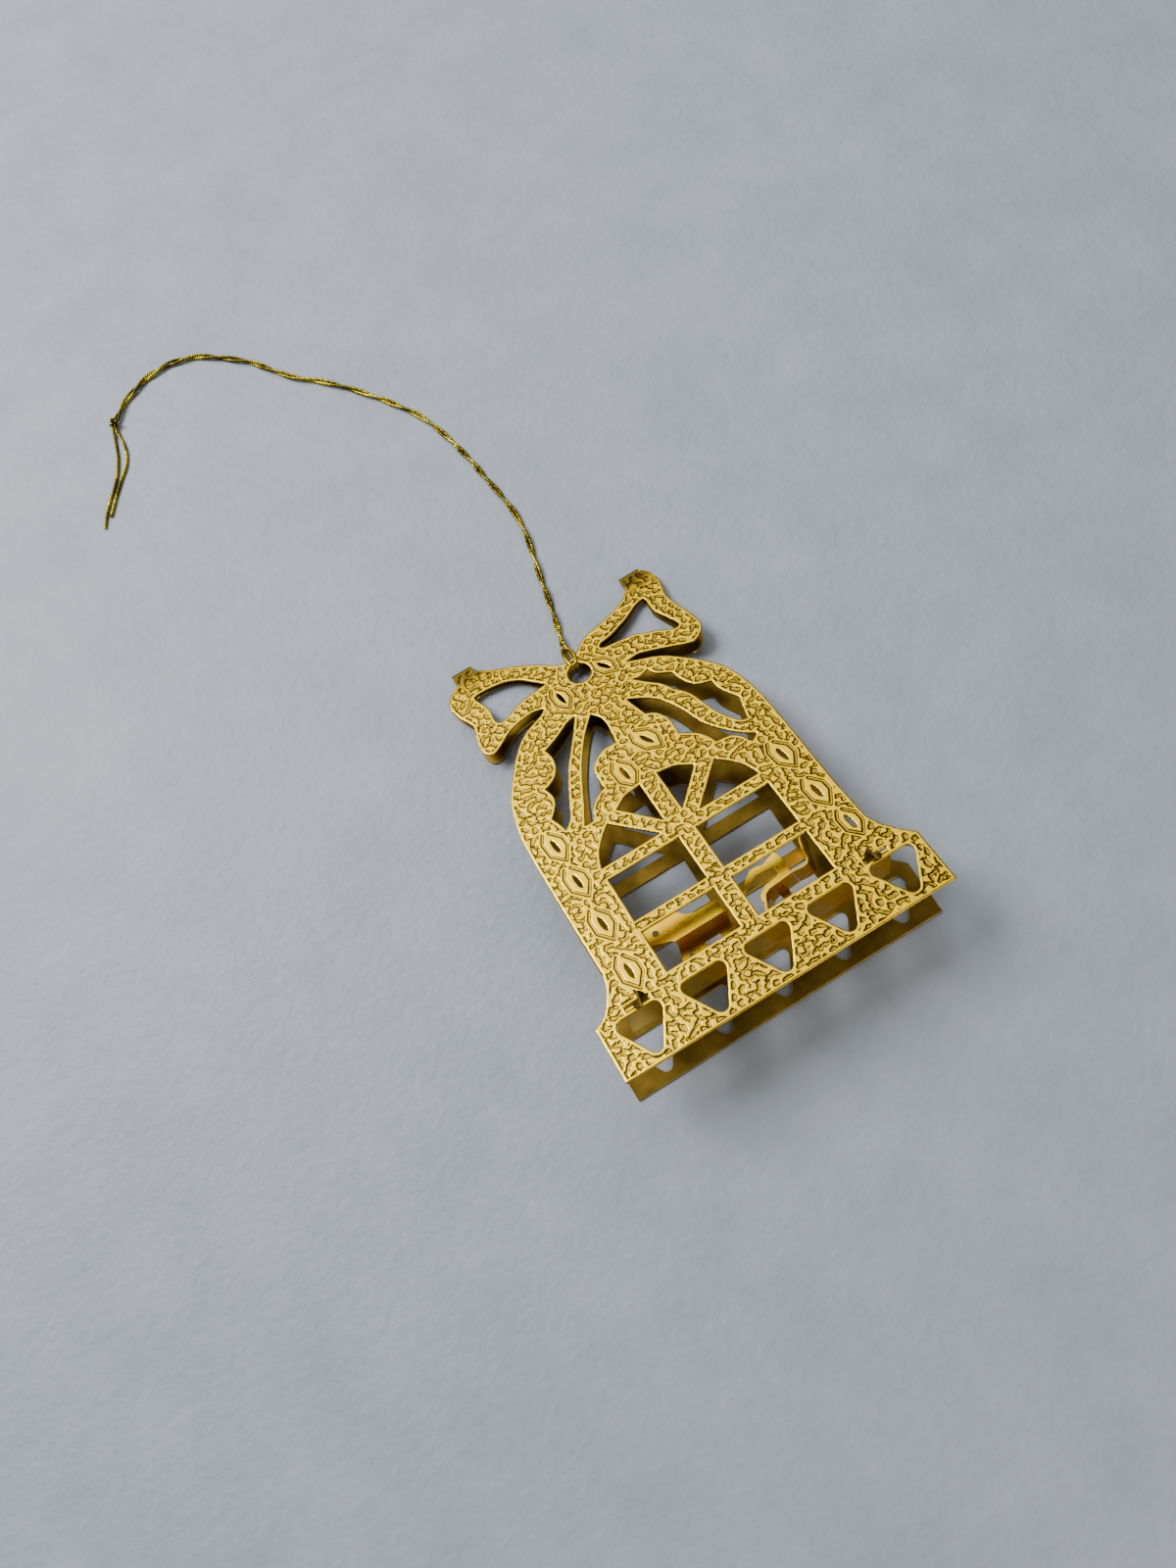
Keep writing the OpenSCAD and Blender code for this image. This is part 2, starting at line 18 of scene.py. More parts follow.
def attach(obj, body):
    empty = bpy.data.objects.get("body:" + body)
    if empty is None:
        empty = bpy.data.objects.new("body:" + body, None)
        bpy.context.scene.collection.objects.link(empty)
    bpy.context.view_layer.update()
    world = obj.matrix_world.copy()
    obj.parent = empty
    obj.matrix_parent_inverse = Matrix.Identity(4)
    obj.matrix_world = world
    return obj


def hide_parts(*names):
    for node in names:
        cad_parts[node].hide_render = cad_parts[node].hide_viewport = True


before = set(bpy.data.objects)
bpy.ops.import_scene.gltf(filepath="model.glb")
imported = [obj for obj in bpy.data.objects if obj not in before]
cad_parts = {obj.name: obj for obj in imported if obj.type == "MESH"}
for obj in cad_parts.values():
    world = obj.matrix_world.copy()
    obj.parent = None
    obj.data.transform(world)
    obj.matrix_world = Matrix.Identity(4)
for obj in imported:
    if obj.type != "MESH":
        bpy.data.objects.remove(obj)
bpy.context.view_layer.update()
MM = 0.001

# %% [markdown]
# ## Camera
# The photograph looks down at the ornament from above its left lower corner. The camera's place and turn
# were worked out from the window bars of the front face, so the drawing on the brass lands on its picture.
# A lens of 27 mm on a 36 mm sensor is the photograph's angle of view on its longer side.

# %% Camera at the photograph's place
camera_data = bpy.data.cameras.new("photo_camera")
camera_data.sensor_fit = "AUTO"
camera_data.sensor_width = 36
camera_data.lens = 27
camera_data.clip_start = 0.005
camera_data.clip_end = 10
camera = bpy.data.objects.new("photo_camera", camera_data)
bpy.context.collection.objects.link(camera)
camera_at = Vector((-22.276, -48.31, 168.465))
forward = Vector((0.08238, 0.31828, -0.94441)).normalized()
picture_top = Vector((0.51177, 0.79964, 0.31413))
right = forward.cross(picture_top).normalized()
camera_turn = Matrix((right, right.cross(forward), -forward)).transposed().to_4x4()
camera.matrix_world = Matrix.Translation(camera_at * MM) @ camera_turn
bpy.context.scene.camera = camera
print("camera at", [round(c) for c in camera_at], "mm")

# %% [markdown]
# ## Small helpers
# Every colour below is written as an sRGB hex value, the way a paint chart gives it, and one function
# turns it to the linear numbers that shaders use. One more function adds a node, sets it, links it and
# places the colours of a ramp, so a material reads as a list of steps. A third starts a metal.

# %% Colour and node helpers
def linear(hex_colour):
    """An sRGB hex value as linear red, green, blue and full alpha"""
    parts = [int(hex_colour[i:i + 2], 16) / 255 for i in (1, 3, 5)]
    return [c / 12.92 if c <= 0.04045 else ((c + 0.055) / 1.055) ** 2.4 for c in parts] + [1.0]


def add(tree, kind, inputs=None, stops=(), **settings):
    """Add a node, set it, then link or fill its inputs and place the stops of its ramp"""
    node = tree.nodes.new(kind)
    for key, value in settings.items():
        setattr(node, key, value)
    for key, value in (inputs or {}).items():
        if isinstance(value, bpy.types.NodeSocket):
            tree.links.new(value, node.inputs[key])
        else:
            node.inputs[key].default_value = value
    if stops:
        elements = node.color_ramp.elements
        while len(elements) < len(stops):
            elements.new(0.5)
        for element, (position, colour) in zip(elements, stops):
            element.position = position
            element.color = linear(colour)
    return node


def metal(name, **settings):
    """A new material whose shader is a bare metal, with the default index of refraction"""
    material = bpy.data.materials.new(name)
    material.use_nodes = True
    tree = material.node_tree
    shader = tree.nodes["Principled BSDF"]
    shader.inputs["Metallic"].default_value = 1.0
    for key, value in settings.items():
        shader.inputs[key].default_value = value
    return material, tree, shader


print("brass yellow #DAB018 is", [round(c, 3) for c in linear("#DAB018")[:3]], "in linear light")

# %% [markdown]
# ## Etched brass
# Brass lacquered to a pale gold. The acid has sunk worm-like patches a few hundredths of a millimetre into
# the face. Their floors are a little matt, and the steep walls round them are painted as fine dark lines,
# the painted shade and dark reflection that such walls take. The plates carry an attribute named etch:
# millimetres inward from the nearest wall, and negative on the untouched face. The material only has to
# read it.

# %% Where the etched face is sunk, and where its walls are
# The painted shade of the walls is full up to the first of these distances from a wall's line, and gone at
# the second
WALL_FULL, WALL_GONE = 0.06, 0.13
etched_brass, tree, shader = metal("etched_brass_gold_lacquer")
inward = add(tree, "ShaderNodeAttribute", attribute_name="etch", attribute_type="GEOMETRY").outputs["Fac"]
place = add(tree, "ShaderNodeTexCoord").outputs["Object"]
sunk = add(tree, "ShaderNodeMapRange", {"Value": inward, "From Min": 0.0, "From Max": 0.14}).outputs[0]
from_wall = add(tree, "ShaderNodeMath", {0: inward}, operation="ABSOLUTE").outputs[0]
wall = add(tree, "ShaderNodeMapRange", {"Value": from_wall, "From Min": WALL_FULL,
    "From Max": WALL_GONE, "To Min": 1.0, "To Max": 0.0}).outputs[0]
print("the walls' dark lines are", 2 * WALL_GONE, "mm wide at most")

# %% Colours of the etched face
# Uneven colour of the lacquer, in patches about 6 mm wide
patches = add(tree, "ShaderNodeTexNoise", {"Vector": place, "Scale": 160, "Detail": 3,
    "Roughness": 0.6}).outputs["Fac"]
face_colour = add(tree, "ShaderNodeValToRGB", {"Fac": patches},
    [(0.3, "#DAB018"), (0.7, "#F0C822")]).outputs["Color"]
# Specks of tarnish on the sunk floors, about 0.3 mm apart
specks = add(tree, "ShaderNodeTexNoise", {"Vector": place, "Scale": 3200, "Detail": 2}).outputs["Fac"]
floor_colour = add(tree, "ShaderNodeValToRGB", {"Fac": specks},
    [(0.3, "#9C7E20"), (0.7, "#CCA432")]).outputs["Color"]
# The walls' dark lines are painted shade and reflection. The folded tips below reuse this colour for their
# cracked lacquer.
wall_shade_and_crack_colour = add(tree, "ShaderNodeValToRGB", {"Fac": specks},
    [(0.3, "#30260E"), (0.7, "#50401A")]).outputs["Color"]
# A colour mix takes its factor at input 0 and its colours at 6 and 7, and gives the result at output 2
lacquer = add(tree, "ShaderNodeMix", {0: sunk, 6: face_colour, 7: floor_colour},
    data_type="RGBA").outputs[2]
lined = add(tree, "ShaderNodeMix", {0: wall, 6: lacquer, 7: wall_shade_and_crack_colour}, data_type="RGBA").outputs[2]
# The lacquer has cracked and darkened where the tips are folded over, 31 to 33.6 mm up from the middle
height = add(tree, "ShaderNodeSeparateXYZ", {"Vector": place}).outputs["Y"]
folded = add(tree, "ShaderNodeMapRange", {"Value": height, "From Min": 0.031, "From Max": 0.0336,
    "To Max": 0.9}).outputs[0]
worn = add(tree, "ShaderNodeMix", {0: folded, 6: lined, 7: wall_shade_and_crack_colour}, data_type="RGBA")
tree.links.new(worn.outputs[2], shader.inputs["Base Color"])

# %% Roughness and grain of the etched face
rough_face = add(tree, "ShaderNodeMapRange", {"Value": patches, "From Min": 0.3, "From Max": 0.7,
    "To Min": 0.22, "To Max": 0.32}).outputs[0]
rough = add(tree, "ShaderNodeMapRange", {"Value": sunk, "To Min": rough_face, "To Max": 0.45})
tree.links.new(rough.outputs[0], shader.inputs["Roughness"])
# Fine grain of the sheet, 0.15 mm, over a slow waviness left by stamping, 2 mm
grain = add(tree, "ShaderNodeTexNoise", {"Vector": place, "Scale": 6500, "Detail": 2}).outputs["Fac"]
wave = add(tree, "ShaderNodeTexNoise", {"Vector": place, "Scale": 500, "Detail": 1}).outputs["Fac"]
wave_bump = add(tree, "ShaderNodeBump", {"Height": wave, "Strength": 0.5, "Distance": 0.0001})
grain_bump = add(tree, "ShaderNodeBump", {"Height": grain, "Strength": 0.25, "Distance": 0.00001,
    "Normal": wave_bump.outputs["Normal"]})
tree.links.new(grain_bump.outputs["Normal"], shader.inputs["Normal"])
print(etched_brass.name, len(tree.nodes), "nodes")

# %% [markdown]
# ## Plain brass
# The clip inside is cut from the same sheet but isn't etched. It is smooth, so it mirrors the dark wedge
# around it, with faint rolling lines along the strip and a warmer tone where the lacquer pooled.

# %% Material of the clip
plain_brass, tree, shader = metal("rolled_brass_gold_lacquer")
place = add(tree, "ShaderNodeTexCoord").outputs["Object"]
# Pools of lacquer about 4.5 mm wide
pools = add(tree, "ShaderNodeTexNoise", {"Vector": place, "Scale": 220, "Detail": 4, "Roughness": 0.6})
pool_colour = add(tree, "ShaderNodeValToRGB", {"Fac": pools.outputs["Fac"]},
    [(0.3, "#D6A41A"), (0.7, "#F0C824")])
tree.links.new(pool_colour.outputs["Color"], shader.inputs["Base Color"])
# Rolling lines about 0.12 mm apart, stretched along the strip
stretch = add(tree, "ShaderNodeMapping", {"Vector": place, "Scale": (600, 8000, 8000)})
lines = add(tree, "ShaderNodeTexNoise", {"Vector": stretch.outputs["Vector"], "Scale": 1, "Detail": 2})
rough = add(tree, "ShaderNodeMapRange", {"Value": lines.outputs["Fac"], "From Min": 0.3, "From Max": 0.7,
    "To Min": 0.24, "To Max": 0.4})
tree.links.new(rough.outputs["Result"], shader.inputs["Roughness"])
bump = add(tree, "ShaderNodeBump", {"Height": lines.outputs["Fac"], "Strength": 0.3, "Distance": 0.00001})
tree.links.new(bump.outputs["Normal"], shader.inputs["Normal"])
print(plain_brass.name, len(tree.nodes), "nodes")

# %% [markdown]
# ## Bare brass
# The inner faces of the folded leaves and their cut edges were never polished or lacquered. They have gone
# olive and dull, and their colour is darkened further as painted shade, for the shaded wedge between the
# leaves and the dark line along the cut edges. The two tabs that lock the clip were wrung round with
# pliers, and their colour is darker still. One recipe makes both.

# %% Materials of the inner faces, the cut edges and the wrung tabs
def unlacquered(name, roughness, dark, light):
    """Bare brass with clouds of tarnish about 3 mm wide"""
    material, tree, shader = metal(name, Roughness=roughness)
    place = add(tree, "ShaderNodeTexCoord").outputs["Object"]
    clouds = add(tree, "ShaderNodeTexNoise", {"Vector": place, "Scale": 330, "Detail": 4,
        "Roughness": 0.65}).outputs["Fac"]
    tarnish = add(tree, "ShaderNodeValToRGB", {"Fac": clouds}, [(0.3, dark), (0.7, light)])
    tree.links.new(tarnish.outputs["Color"], shader.inputs["Base Color"])
    bump = add(tree, "ShaderNodeBump", {"Height": clouds, "Strength": 0.3, "Distance": 0.00005})
    tree.links.new(bump.outputs["Normal"], shader.inputs["Normal"])
    print(name, len(tree.nodes), "nodes")
    return material


# The inner faces' darker colour is partly tarnish and partly painted shade of the wedge and the cut edges
dull_shaded_brass = unlacquered("unlacquered_brass_with_painted_shade", 0.42, "#785F20", "#A88836")
wrung_brass = unlacquered("wrung_dark_brass", 0.5, "#3A2E10", "#7C642A")

# %% [markdown]
# ## Gilt thread
# Each strand is a thin metallised film wound round a core. The film is shiny and yellower than the brass,
# and its colour has painted shade where one turn tucks under the next, a painted sheen on each turn and
# painted glints and shade in stretches along it. The pattern follows the strand, so it reads the strand's
# own UV map: U goes round it and V along it, in metres. Round the rim of the hole the thread is bent tight
# and its film lies smooth, and the hitch has a paler film that paints the highlight its arch catches.

# %% Materials of the thread
# One turn of film each 0.45 mm, coarser than the real winding, so that it shows at this distance
FILM_PITCH = 0.00045


def film(name, roughness, dark, middle, light):
    """Metallised film on a strand, with painted shade where one turn tucks under the next and a painted
    sheen between
    """
    material, tree, shader = metal(name, Roughness=roughness)
    strand_map = add(tree, "ShaderNodeUVMap", uv_map="thread_map").outputs["UV"]
    around_along = add(tree, "ShaderNodeSeparateXYZ", {"Vector": strand_map}).outputs
    turns = add(tree, "ShaderNodeMath", {0: around_along["Y"], 1: 1 / FILM_PITCH}, operation="MULTIPLY")
    phase = add(tree, "ShaderNodeMath", {0: turns.outputs[0], 1: around_along["X"]}, operation="ADD")
    saw = add(tree, "ShaderNodeMath", {0: phase.outputs[0], 1: 0.5}, operation="PINGPONG")
    # Stretches about 4 mm long of painted glints and painted shade, brighter or darker along the strand
    place = add(tree, "ShaderNodeTexCoord").outputs["Object"]
    stretches = add(tree, "ShaderNodeTexNoise", {"Vector": place, "Scale": 250, "Detail": 1})
    painted_glint_stretches = add(tree, "ShaderNodeMapRange", {"Value": stretches.outputs["Fac"], "From Min": 0.38,
        "From Max": 0.62, "To Min": 0.4, "To Max": 1.3})
    level = add(tree, "ShaderNodeMath", {0: saw.outputs[0], 1: painted_glint_stretches.outputs["Result"]},
        operation="MULTIPLY")
    # Dark to light paints the shade in each tuck and the sheen on each turn
    sheen = add(tree, "ShaderNodeValToRGB", {"Fac": level.outputs[0]},
        [(0.0, dark), (0.25, middle), (0.5, light)])
    tree.links.new(sheen.outputs["Color"], shader.inputs["Base Color"])
    bump = add(tree, "ShaderNodeBump", {"Height": saw.outputs[0], "Strength": 0.8, "Distance": 0.00004})
    tree.links.new(bump.outputs["Normal"], shader.inputs["Normal"])
    print(name, len(tree.nodes), "nodes")
    return material


gilt_thread = film("gilt_thread_metallised_film", 0.24, "#241C04", "#84700A", "#F2DC1C")
# Paler colours paint the highlight that the hitch's upward arch catches
drawn_highlight_thread = film("gilt_thread_drawn_tight_painted_highlight", 0.3, "#7C6410", "#C2A41C", "#F4DC3C")

# %% [markdown]
# ## The cord's route
# The cord is one thread, doubled. It is hitched round the front face's rim at the hanging hole, both halves
# run to the knot in a loose twist, and two cut tails lie behind it. The routes repeat the CAD's points, in
# millimetres, and are turned to metres at once. Only the hitch differs: in the photo it is drawn up narrow
# round the rim and stands in a small arch. A smooth curve through the points is cut into even steps.

# %% Routes of the cord
hitch_route = [(1.05, 55.3, 0.72), (0.95, 54.3, 0.76), (0.85, 53.1, 0.76), (0.8, 52, 0.7),
    (0.76, 51.1, 0.68), (0.75, 50.6, 0.66), (0.75, 50.33, 0.48), (0.75, 50.3, 0.1), (0.76, 50.4, -0.16),
    (0.82, 50.75, -0.34), (1.02, 51.3, -0.34), (1.26, 52.1, -0.33), (1.3, 52.9, -0.25),
    (1.1, 53.7, -0.1), (0.75, 54.2, 0), (0.35, 54.2, 0), (-0.05, 53.7, -0.1), (-0.28, 52.9, -0.25),
    (-0.3, 52.1, -0.33), (-0.24, 51.3, -0.34), (-0.18, 50.75, -0.34), (-0.16, 50.4, -0.16),
    (-0.15, 50.3, 0.1), (-0.15, 50.33, 0.48), (-0.15, 50.6, 0.66), (-0.13, 51.1, 0.68),
    (-0.05, 52, 0.7), (0.1, 53.1, 0.76), (0.35, 54.3, 0.76), (0.5, 55.3, 0.72)]
loop_route = [(0.78, 30.2, 0.75), (1.4, 32.5, 0.6), (2.1, 35.1, 0.54), (2.8, 38, 0.53),
    (3.5, 41.1, 0.53), (4.3, 44.5, 0.53), (5.2, 48.1, 0.53), (5.9, 51.4, 0.53), (6.2, 54.5, 0.53),
    (6.1, 57.7, 0.53), (5.8, 60.9, 0.53), (5.4, 64.2, 0.53), (5.1, 67.5, 0.53), (4.6, 70.8, 0.53),
    (4, 74.1, 0.53), (3.2, 77.4, 0.53), (2.1, 80.8, 0.53), (0.4, 84.1, 0.53), (-1.4, 87.1, 0.53),
    (-3.5, 90.3, 0.53), (-5.6, 93.2, 0.53), (-7.9, 96.1, 0.53), (-10.2, 98.5, 0.53),
    (-12.5, 100.8, 0.53), (-14.6, 103.5, 0.53), (-16.5, 106.5, 0.53), (-18.6, 109.4, 0.53),
    (-21.4, 112, 0.53), (-24.2, 114.5, 0.53), (-27, 116.1, 0.53), (-30, 116.9, 0.53), (-33, 117, 0.53),
    (-36.2, 116.4, 0.53), (-39.2, 115.1, 0.53), (-41.5, 113.6, 0.55), (-43.5, 111.6, 0.7)]
knot_place = (-44.1, 111, 0.95)
short_tail_route = [(-44.3, 110, 0.7), (-44.4, 108.3, 0.35), (-44.4, 106.3, 0.27), (-44.8, 104.2, 0.27),
    (-45.9, 102, 0.27), (-47.3, 100.4, 0.27), (-48.7, 98.7, 0.27), (-50, 97.1, 0.27),
    (-51.1, 95.6, 0.27), (-52.2, 94.2, 0.27)]
long_tail_route = [(-44.7, 110.1, 0.7), (-45.3, 108.4, 0.35), (-45.8, 106.5, 0.27),
    (-46.4, 104.5, 0.27), (-47.3, 102.5, 0.27), (-48.3, 100.7, 0.27), (-49.5, 99, 0.27),
    (-50.8, 97.5, 0.27), (-52, 95.9, 0.27), (-53, 94.4, 0.27), (-54, 92.7, 0.27)]
print(len(loop_route), "points for the doubled stretch,", len(hitch_route), "for the hitch")

# %% A smooth curve in even steps
# Millimetres between two points of a line, and closer in the hitch's tight bends
LINE_STEP = 0.3
HITCH_STEP = 0.15


def even_steps(points, step):
    """A smooth curve through the points, cut into even steps, and the distance along it at each"""
    p = np.array(points, float)
    p = np.vstack([2 * p[0] - p[1], p, 2 * p[-1] - p[-2]])
    t = np.linspace(0, 1, 24, endpoint=False)[:, None]
    fine = [p[i] + t * (p[i + 1] - p[i - 1]) / 2
        + t ** 2 * (p[i - 1] - 2.5 * p[i] + 2 * p[i + 1] - p[i + 2] / 2)
        + t ** 3 * (3 * p[i] - 3 * p[i + 1] + p[i + 2] - p[i - 1]) / 2 for i in range(1, len(p) - 2)]
    fine = np.vstack(fine + [p[-2:-1]])
    along = np.concatenate([[0], np.cumsum(np.linalg.norm(np.diff(fine, axis=0), axis=1))])
    marks = np.linspace(0, along[-1], max(2, round(along[-1] / step) + 1))
    return np.stack([np.interp(marks, along, fine[:, k]) for k in range(3)], axis=1), marks


loop_line, loop_marks = even_steps(loop_route, LINE_STEP)
print("doubled stretch", round(loop_marks[-1], 1), "mm")

# %% [markdown]
# ## Twisting two strands together
# The two strands wind round their common line. A half turn takes 5 to 7 mm of cord, and 3 mm close to the
# hitch, where the photograph shows the twist drawn tight. They start side by side, where they leave the
# hitch, and one runs on into each tail. Waves with unlike periods keep the twist from looking machine-made.

# %% Turn of the strands along the cord
STRAND = 0.5
# Each strand's middle lies a little over half a strand off the common line, so the two only just touch
STRAND_OFFSET = 0.262
HALF_TURN = 5.9
TIGHTER_AT_HITCH = 3.4
TIGHT_FOR = 12
ahead = np.gradient(loop_line, axis=0)
ahead /= np.linalg.norm(ahead, axis=1)[:, None]
sideways = np.cross(ahead, (0, 0, 1))
sideways /= np.linalg.norm(sideways, axis=1)[:, None]
upwards = np.cross(sideways, ahead)
half_turn = HALF_TURN + 0.9 * np.sin(loop_marks / 9.0) + 0.5 * np.sin(loop_marks / 3.7 + 1)
half_turn -= TIGHTER_AT_HITCH * np.exp(-loop_marks / TIGHT_FOR)
turned = np.concatenate([[0], np.cumsum(np.diff(loop_marks) * math.pi / half_turn[1:])])
# A whole number of half turns, so that the strands lie side by side again at the knot
turned *= round(turned[-1] / math.pi) * math.pi / turned[-1]
spread = STRAND_OFFSET * (sideways * np.cos(turned)[:, None] + upwards * np.sin(turned)[:, None])
print("half turns", round(turned[-1] / math.pi), "shortest", round(half_turn.min(), 1), "mm")

# %% Lines of the two strands
# The strands pass through the knot on either side of its middle
KNOT_PAIR = np.array([(-0.2, 0.1, 0.0), (0.2, -0.1, 0.0)])
first_line = np.vstack([(loop_line + spread)[::3], np.array(knot_place) + KNOT_PAIR[0], long_tail_route])
second_line = np.vstack([(loop_line - spread)[::3], np.array(knot_place) + KNOT_PAIR[1], short_tail_route])
first_line, first_marks = even_steps(first_line, LINE_STEP)
second_line, second_marks = even_steps(second_line, LINE_STEP)
print("strands", round(first_marks[-1], 1), round(second_marks[-1], 1), "mm")

# %% [markdown]
# ## A thread from Geometry Nodes
# A thread repeats the same twist over its whole length, so a node tree makes it: it cuts the line into even
# steps, sweeps a ring along it, and then pushes the surface in where two plies meet. The tree's inputs are
# the real sizes, in metres, and it also writes the map that the thread's material reads.

# %% Inputs of the thread's tree
thread_tree = bpy.data.node_groups.new("plied_thread", "GeometryNodeTree")
for socket_name, kind, default in (("Line", "NodeSocketGeometry", None),
        ("Radius", "NodeSocketFloat", 0.00025), ("Plies", "NodeSocketFloat", 2.0),
        ("Ply pitch", "NodeSocketFloat", 0.0022), ("Groove depth", "NodeSocketFloat", 0.00005),
        ("Step", "NodeSocketFloat", 0.00012), ("Sides", "NodeSocketInt", 12),
        ("Finish", "NodeSocketMaterial", None)):
    socket = thread_tree.interface.new_socket(socket_name, in_out="INPUT", socket_type=kind)
    if default is not None:
        socket.default_value = default
thread_tree.interface.new_socket("Thread", in_out="OUTPUT", socket_type="NodeSocketGeometry")
given = add(thread_tree, "NodeGroupInput").outputs
print("inputs", [socket.name for socket in given if socket.name])

# %% Sweep of a ring along the line
# Each point of the line keeps its distance along it as "run", and each point of the ring keeps its share of
# the way round as "round". Both survive the sweep.
steps = add(thread_tree, "GeometryNodeResampleCurve", {"Curve": given["Line"], "Length": given["Step"]},
    mode="LENGTH")
line_place = add(thread_tree, "GeometryNodeSplineParameter").outputs
keep_length = add(thread_tree, "GeometryNodeStoreNamedAttribute", {"Geometry": steps.outputs["Curve"],
    "Name": "run", "Value": line_place["Length"]}, data_type="FLOAT", domain="POINT")
ring = add(thread_tree, "GeometryNodeCurvePrimitiveCircle", {"Resolution": given["Sides"],
    "Radius": given["Radius"]})
keep_turn = add(thread_tree, "GeometryNodeStoreNamedAttribute", {"Geometry": ring.outputs["Curve"],
    "Name": "round", "Value": line_place["Factor"]}, data_type="FLOAT", domain="POINT")
swept = add(thread_tree, "GeometryNodeCurveToMesh", {"Curve": keep_length.outputs["Geometry"],
    "Profile Curve": keep_turn.outputs["Geometry"], "Fill Caps": True})
run = add(thread_tree, "GeometryNodeInputNamedAttribute", {"Name": "run"},
    data_type="FLOAT").outputs["Attribute"]
turn = add(thread_tree, "GeometryNodeInputNamedAttribute", {"Name": "round"},
    data_type="FLOAT").outputs["Attribute"]

# %% Grooves between the plies
# A place on the surface is on a ply's middle at wave 0.5 and in a groove at wave 0. The groove takes the
# last 0.28 of it and has a smooth side.
GROOVE_SHARE = 0.28
ply_turns = add(thread_tree, "ShaderNodeMath", {0: run, 1: given["Ply pitch"]}, operation="DIVIDE")
ply_place = add(thread_tree, "ShaderNodeMath", {0: turn, 1: ply_turns.outputs[0]}, operation="SUBTRACT")
ply_count = add(thread_tree, "ShaderNodeMath", {0: ply_place.outputs[0], 1: given["Plies"]},
    operation="MULTIPLY")
ply_wave = add(thread_tree, "ShaderNodeMath", {0: ply_count.outputs[0], 1: 0.5}, operation="PINGPONG")
ply_dip = add(thread_tree, "ShaderNodeMapRange", {"Value": ply_wave.outputs[0], "From Min": 0.0,
    "From Max": GROOVE_SHARE, "To Min": -1.0, "To Max": 0.0}, interpolation_type="SMOOTHSTEP")
dip = add(thread_tree, "ShaderNodeMath", {0: ply_dip.outputs["Result"], 1: given["Groove depth"]},
    operation="MULTIPLY")
outwards = add(thread_tree, "GeometryNodeInputNormal").outputs["Normal"]
push = add(thread_tree, "ShaderNodeVectorMath", {0: outwards, "Scale": dip.outputs[0]}, operation="SCALE")
shaped = add(thread_tree, "GeometryNodeSetPosition", {"Geometry": swept.outputs["Mesh"],
    "Offset": push.outputs["Vector"]})

# %% Map and finish of the thread
map_point = add(thread_tree, "ShaderNodeCombineXYZ", {"X": turn, "Y": run})
mapped = add(thread_tree, "GeometryNodeStoreNamedAttribute", {"Geometry": shaped.outputs["Geometry"],
    "Name": "thread_map", "Value": map_point.outputs["Vector"]}, data_type="FLOAT2", domain="CORNER")
smooth = add(thread_tree, "GeometryNodeSetShadeSmooth", {"Geometry": mapped.outputs["Geometry"]})
real = add(thread_tree, "GeometryNodeRealizeInstances", {"Geometry": smooth.outputs["Geometry"]})
finished = add(thread_tree, "GeometryNodeSetMaterial", {"Geometry": real.outputs["Geometry"],
    "Material": given["Finish"]})
add(thread_tree, "NodeGroupOutput", {"Thread": finished.outputs["Geometry"]})
print(thread_tree.name, len(thread_tree.nodes), "nodes")

# %% The two strands
def thread(name, line, **sizes):
    """A plain mesh of a thread along a line in millimetres, made by the tree"""
    curve = bpy.data.curves.new(name + "_line", "CURVE")
    curve.dimensions = "3D"
    spline = curve.splines.new("POLY")
    spline.points.add(len(line) - 1)
    spline.points.foreach_set("co", np.c_[np.array(line) * MM, np.ones(len(line))].ravel())
    guide = bpy.data.objects.new(name + "_line", curve)
    bpy.context.collection.objects.link(guide)
    modifier = guide.modifiers.new("thread", "NODES")
    modifier.node_group = thread_tree
    wanted = {"Finish": gilt_thread, **sizes}
    for item in thread_tree.interface.items_tree:
        if item.in_out == "INPUT" and item.name in wanted:
            modifier[item.identifier] = wanted[item.name]
    bpy.context.view_layer.update()
    made = bpy.data.meshes.new_from_object(guide.evaluated_get(bpy.context.evaluated_depsgraph_get()))
    bpy.data.objects.remove(guide)
    piece = bpy.data.objects.new(name, made)
    bpy.context.collection.objects.link(piece)
    print(name, len(made.vertices), "points,", len(made.polygons), "faces")
    return piece


first_strand = thread("cord_strand_long_tail", first_line, Radius=STRAND / 2 * MM)
second_strand = thread("cord_strand_short_tail", second_line, Radius=STRAND / 2 * MM)

# %% [markdown]
# ## The hitch and the knot
# The hitch is drawn on the tilted front face, so its route is placed by the same move that places that
# face: down to the crease line, then a turn of 12 degrees. The knot is an overhand knot in both strands.
# A trefoil is the path of such a knot, and it is pulled small round the place where the strands meet.

# %% Places of the two leaves
# The drawing counts millimetres up from the window sill, to the crease, the part's middle and the base edge
CREASE = 57.5
MIDDLE = 25.2
BASE_EDGE = -10
# Height of the crease above the table
CREASE_Z = 0.9
WEDGE = math.radians(12)
front_place = (Matrix.Translation((0, CREASE - MIDDLE, CREASE_Z)) @ Matrix.Rotation(-WEDGE, 4, "X")
    @ Matrix.Translation((0, -CREASE, 0)))
back_place = Matrix.Translation((0, -MIDDLE, 0))
print("front face's base edge is", round((front_place @ Vector((0, BASE_EDGE, 0))).z, 1), "mm up")

# %% Hitch round the rim
# Drawn tight, the thread is flattened to a little more than its width, and its plies hardly show
HITCH_RADIUS = 0.27
HITCH_GROOVE = 0.01
hitch_places = [front_place @ Vector((x, y, -z)) for x, y, z in hitch_route]
hitch_line, hitch_marks = even_steps(hitch_places, HITCH_STEP)
hitch = thread("cord_hitch_thread", hitch_line, Radius=HITCH_RADIUS * MM, Finish=drawn_highlight_thread,
    **{"Groove depth": HITCH_GROOVE * MM})
print("hitch", round(hitch_marks[-1], 1), "mm of thread")

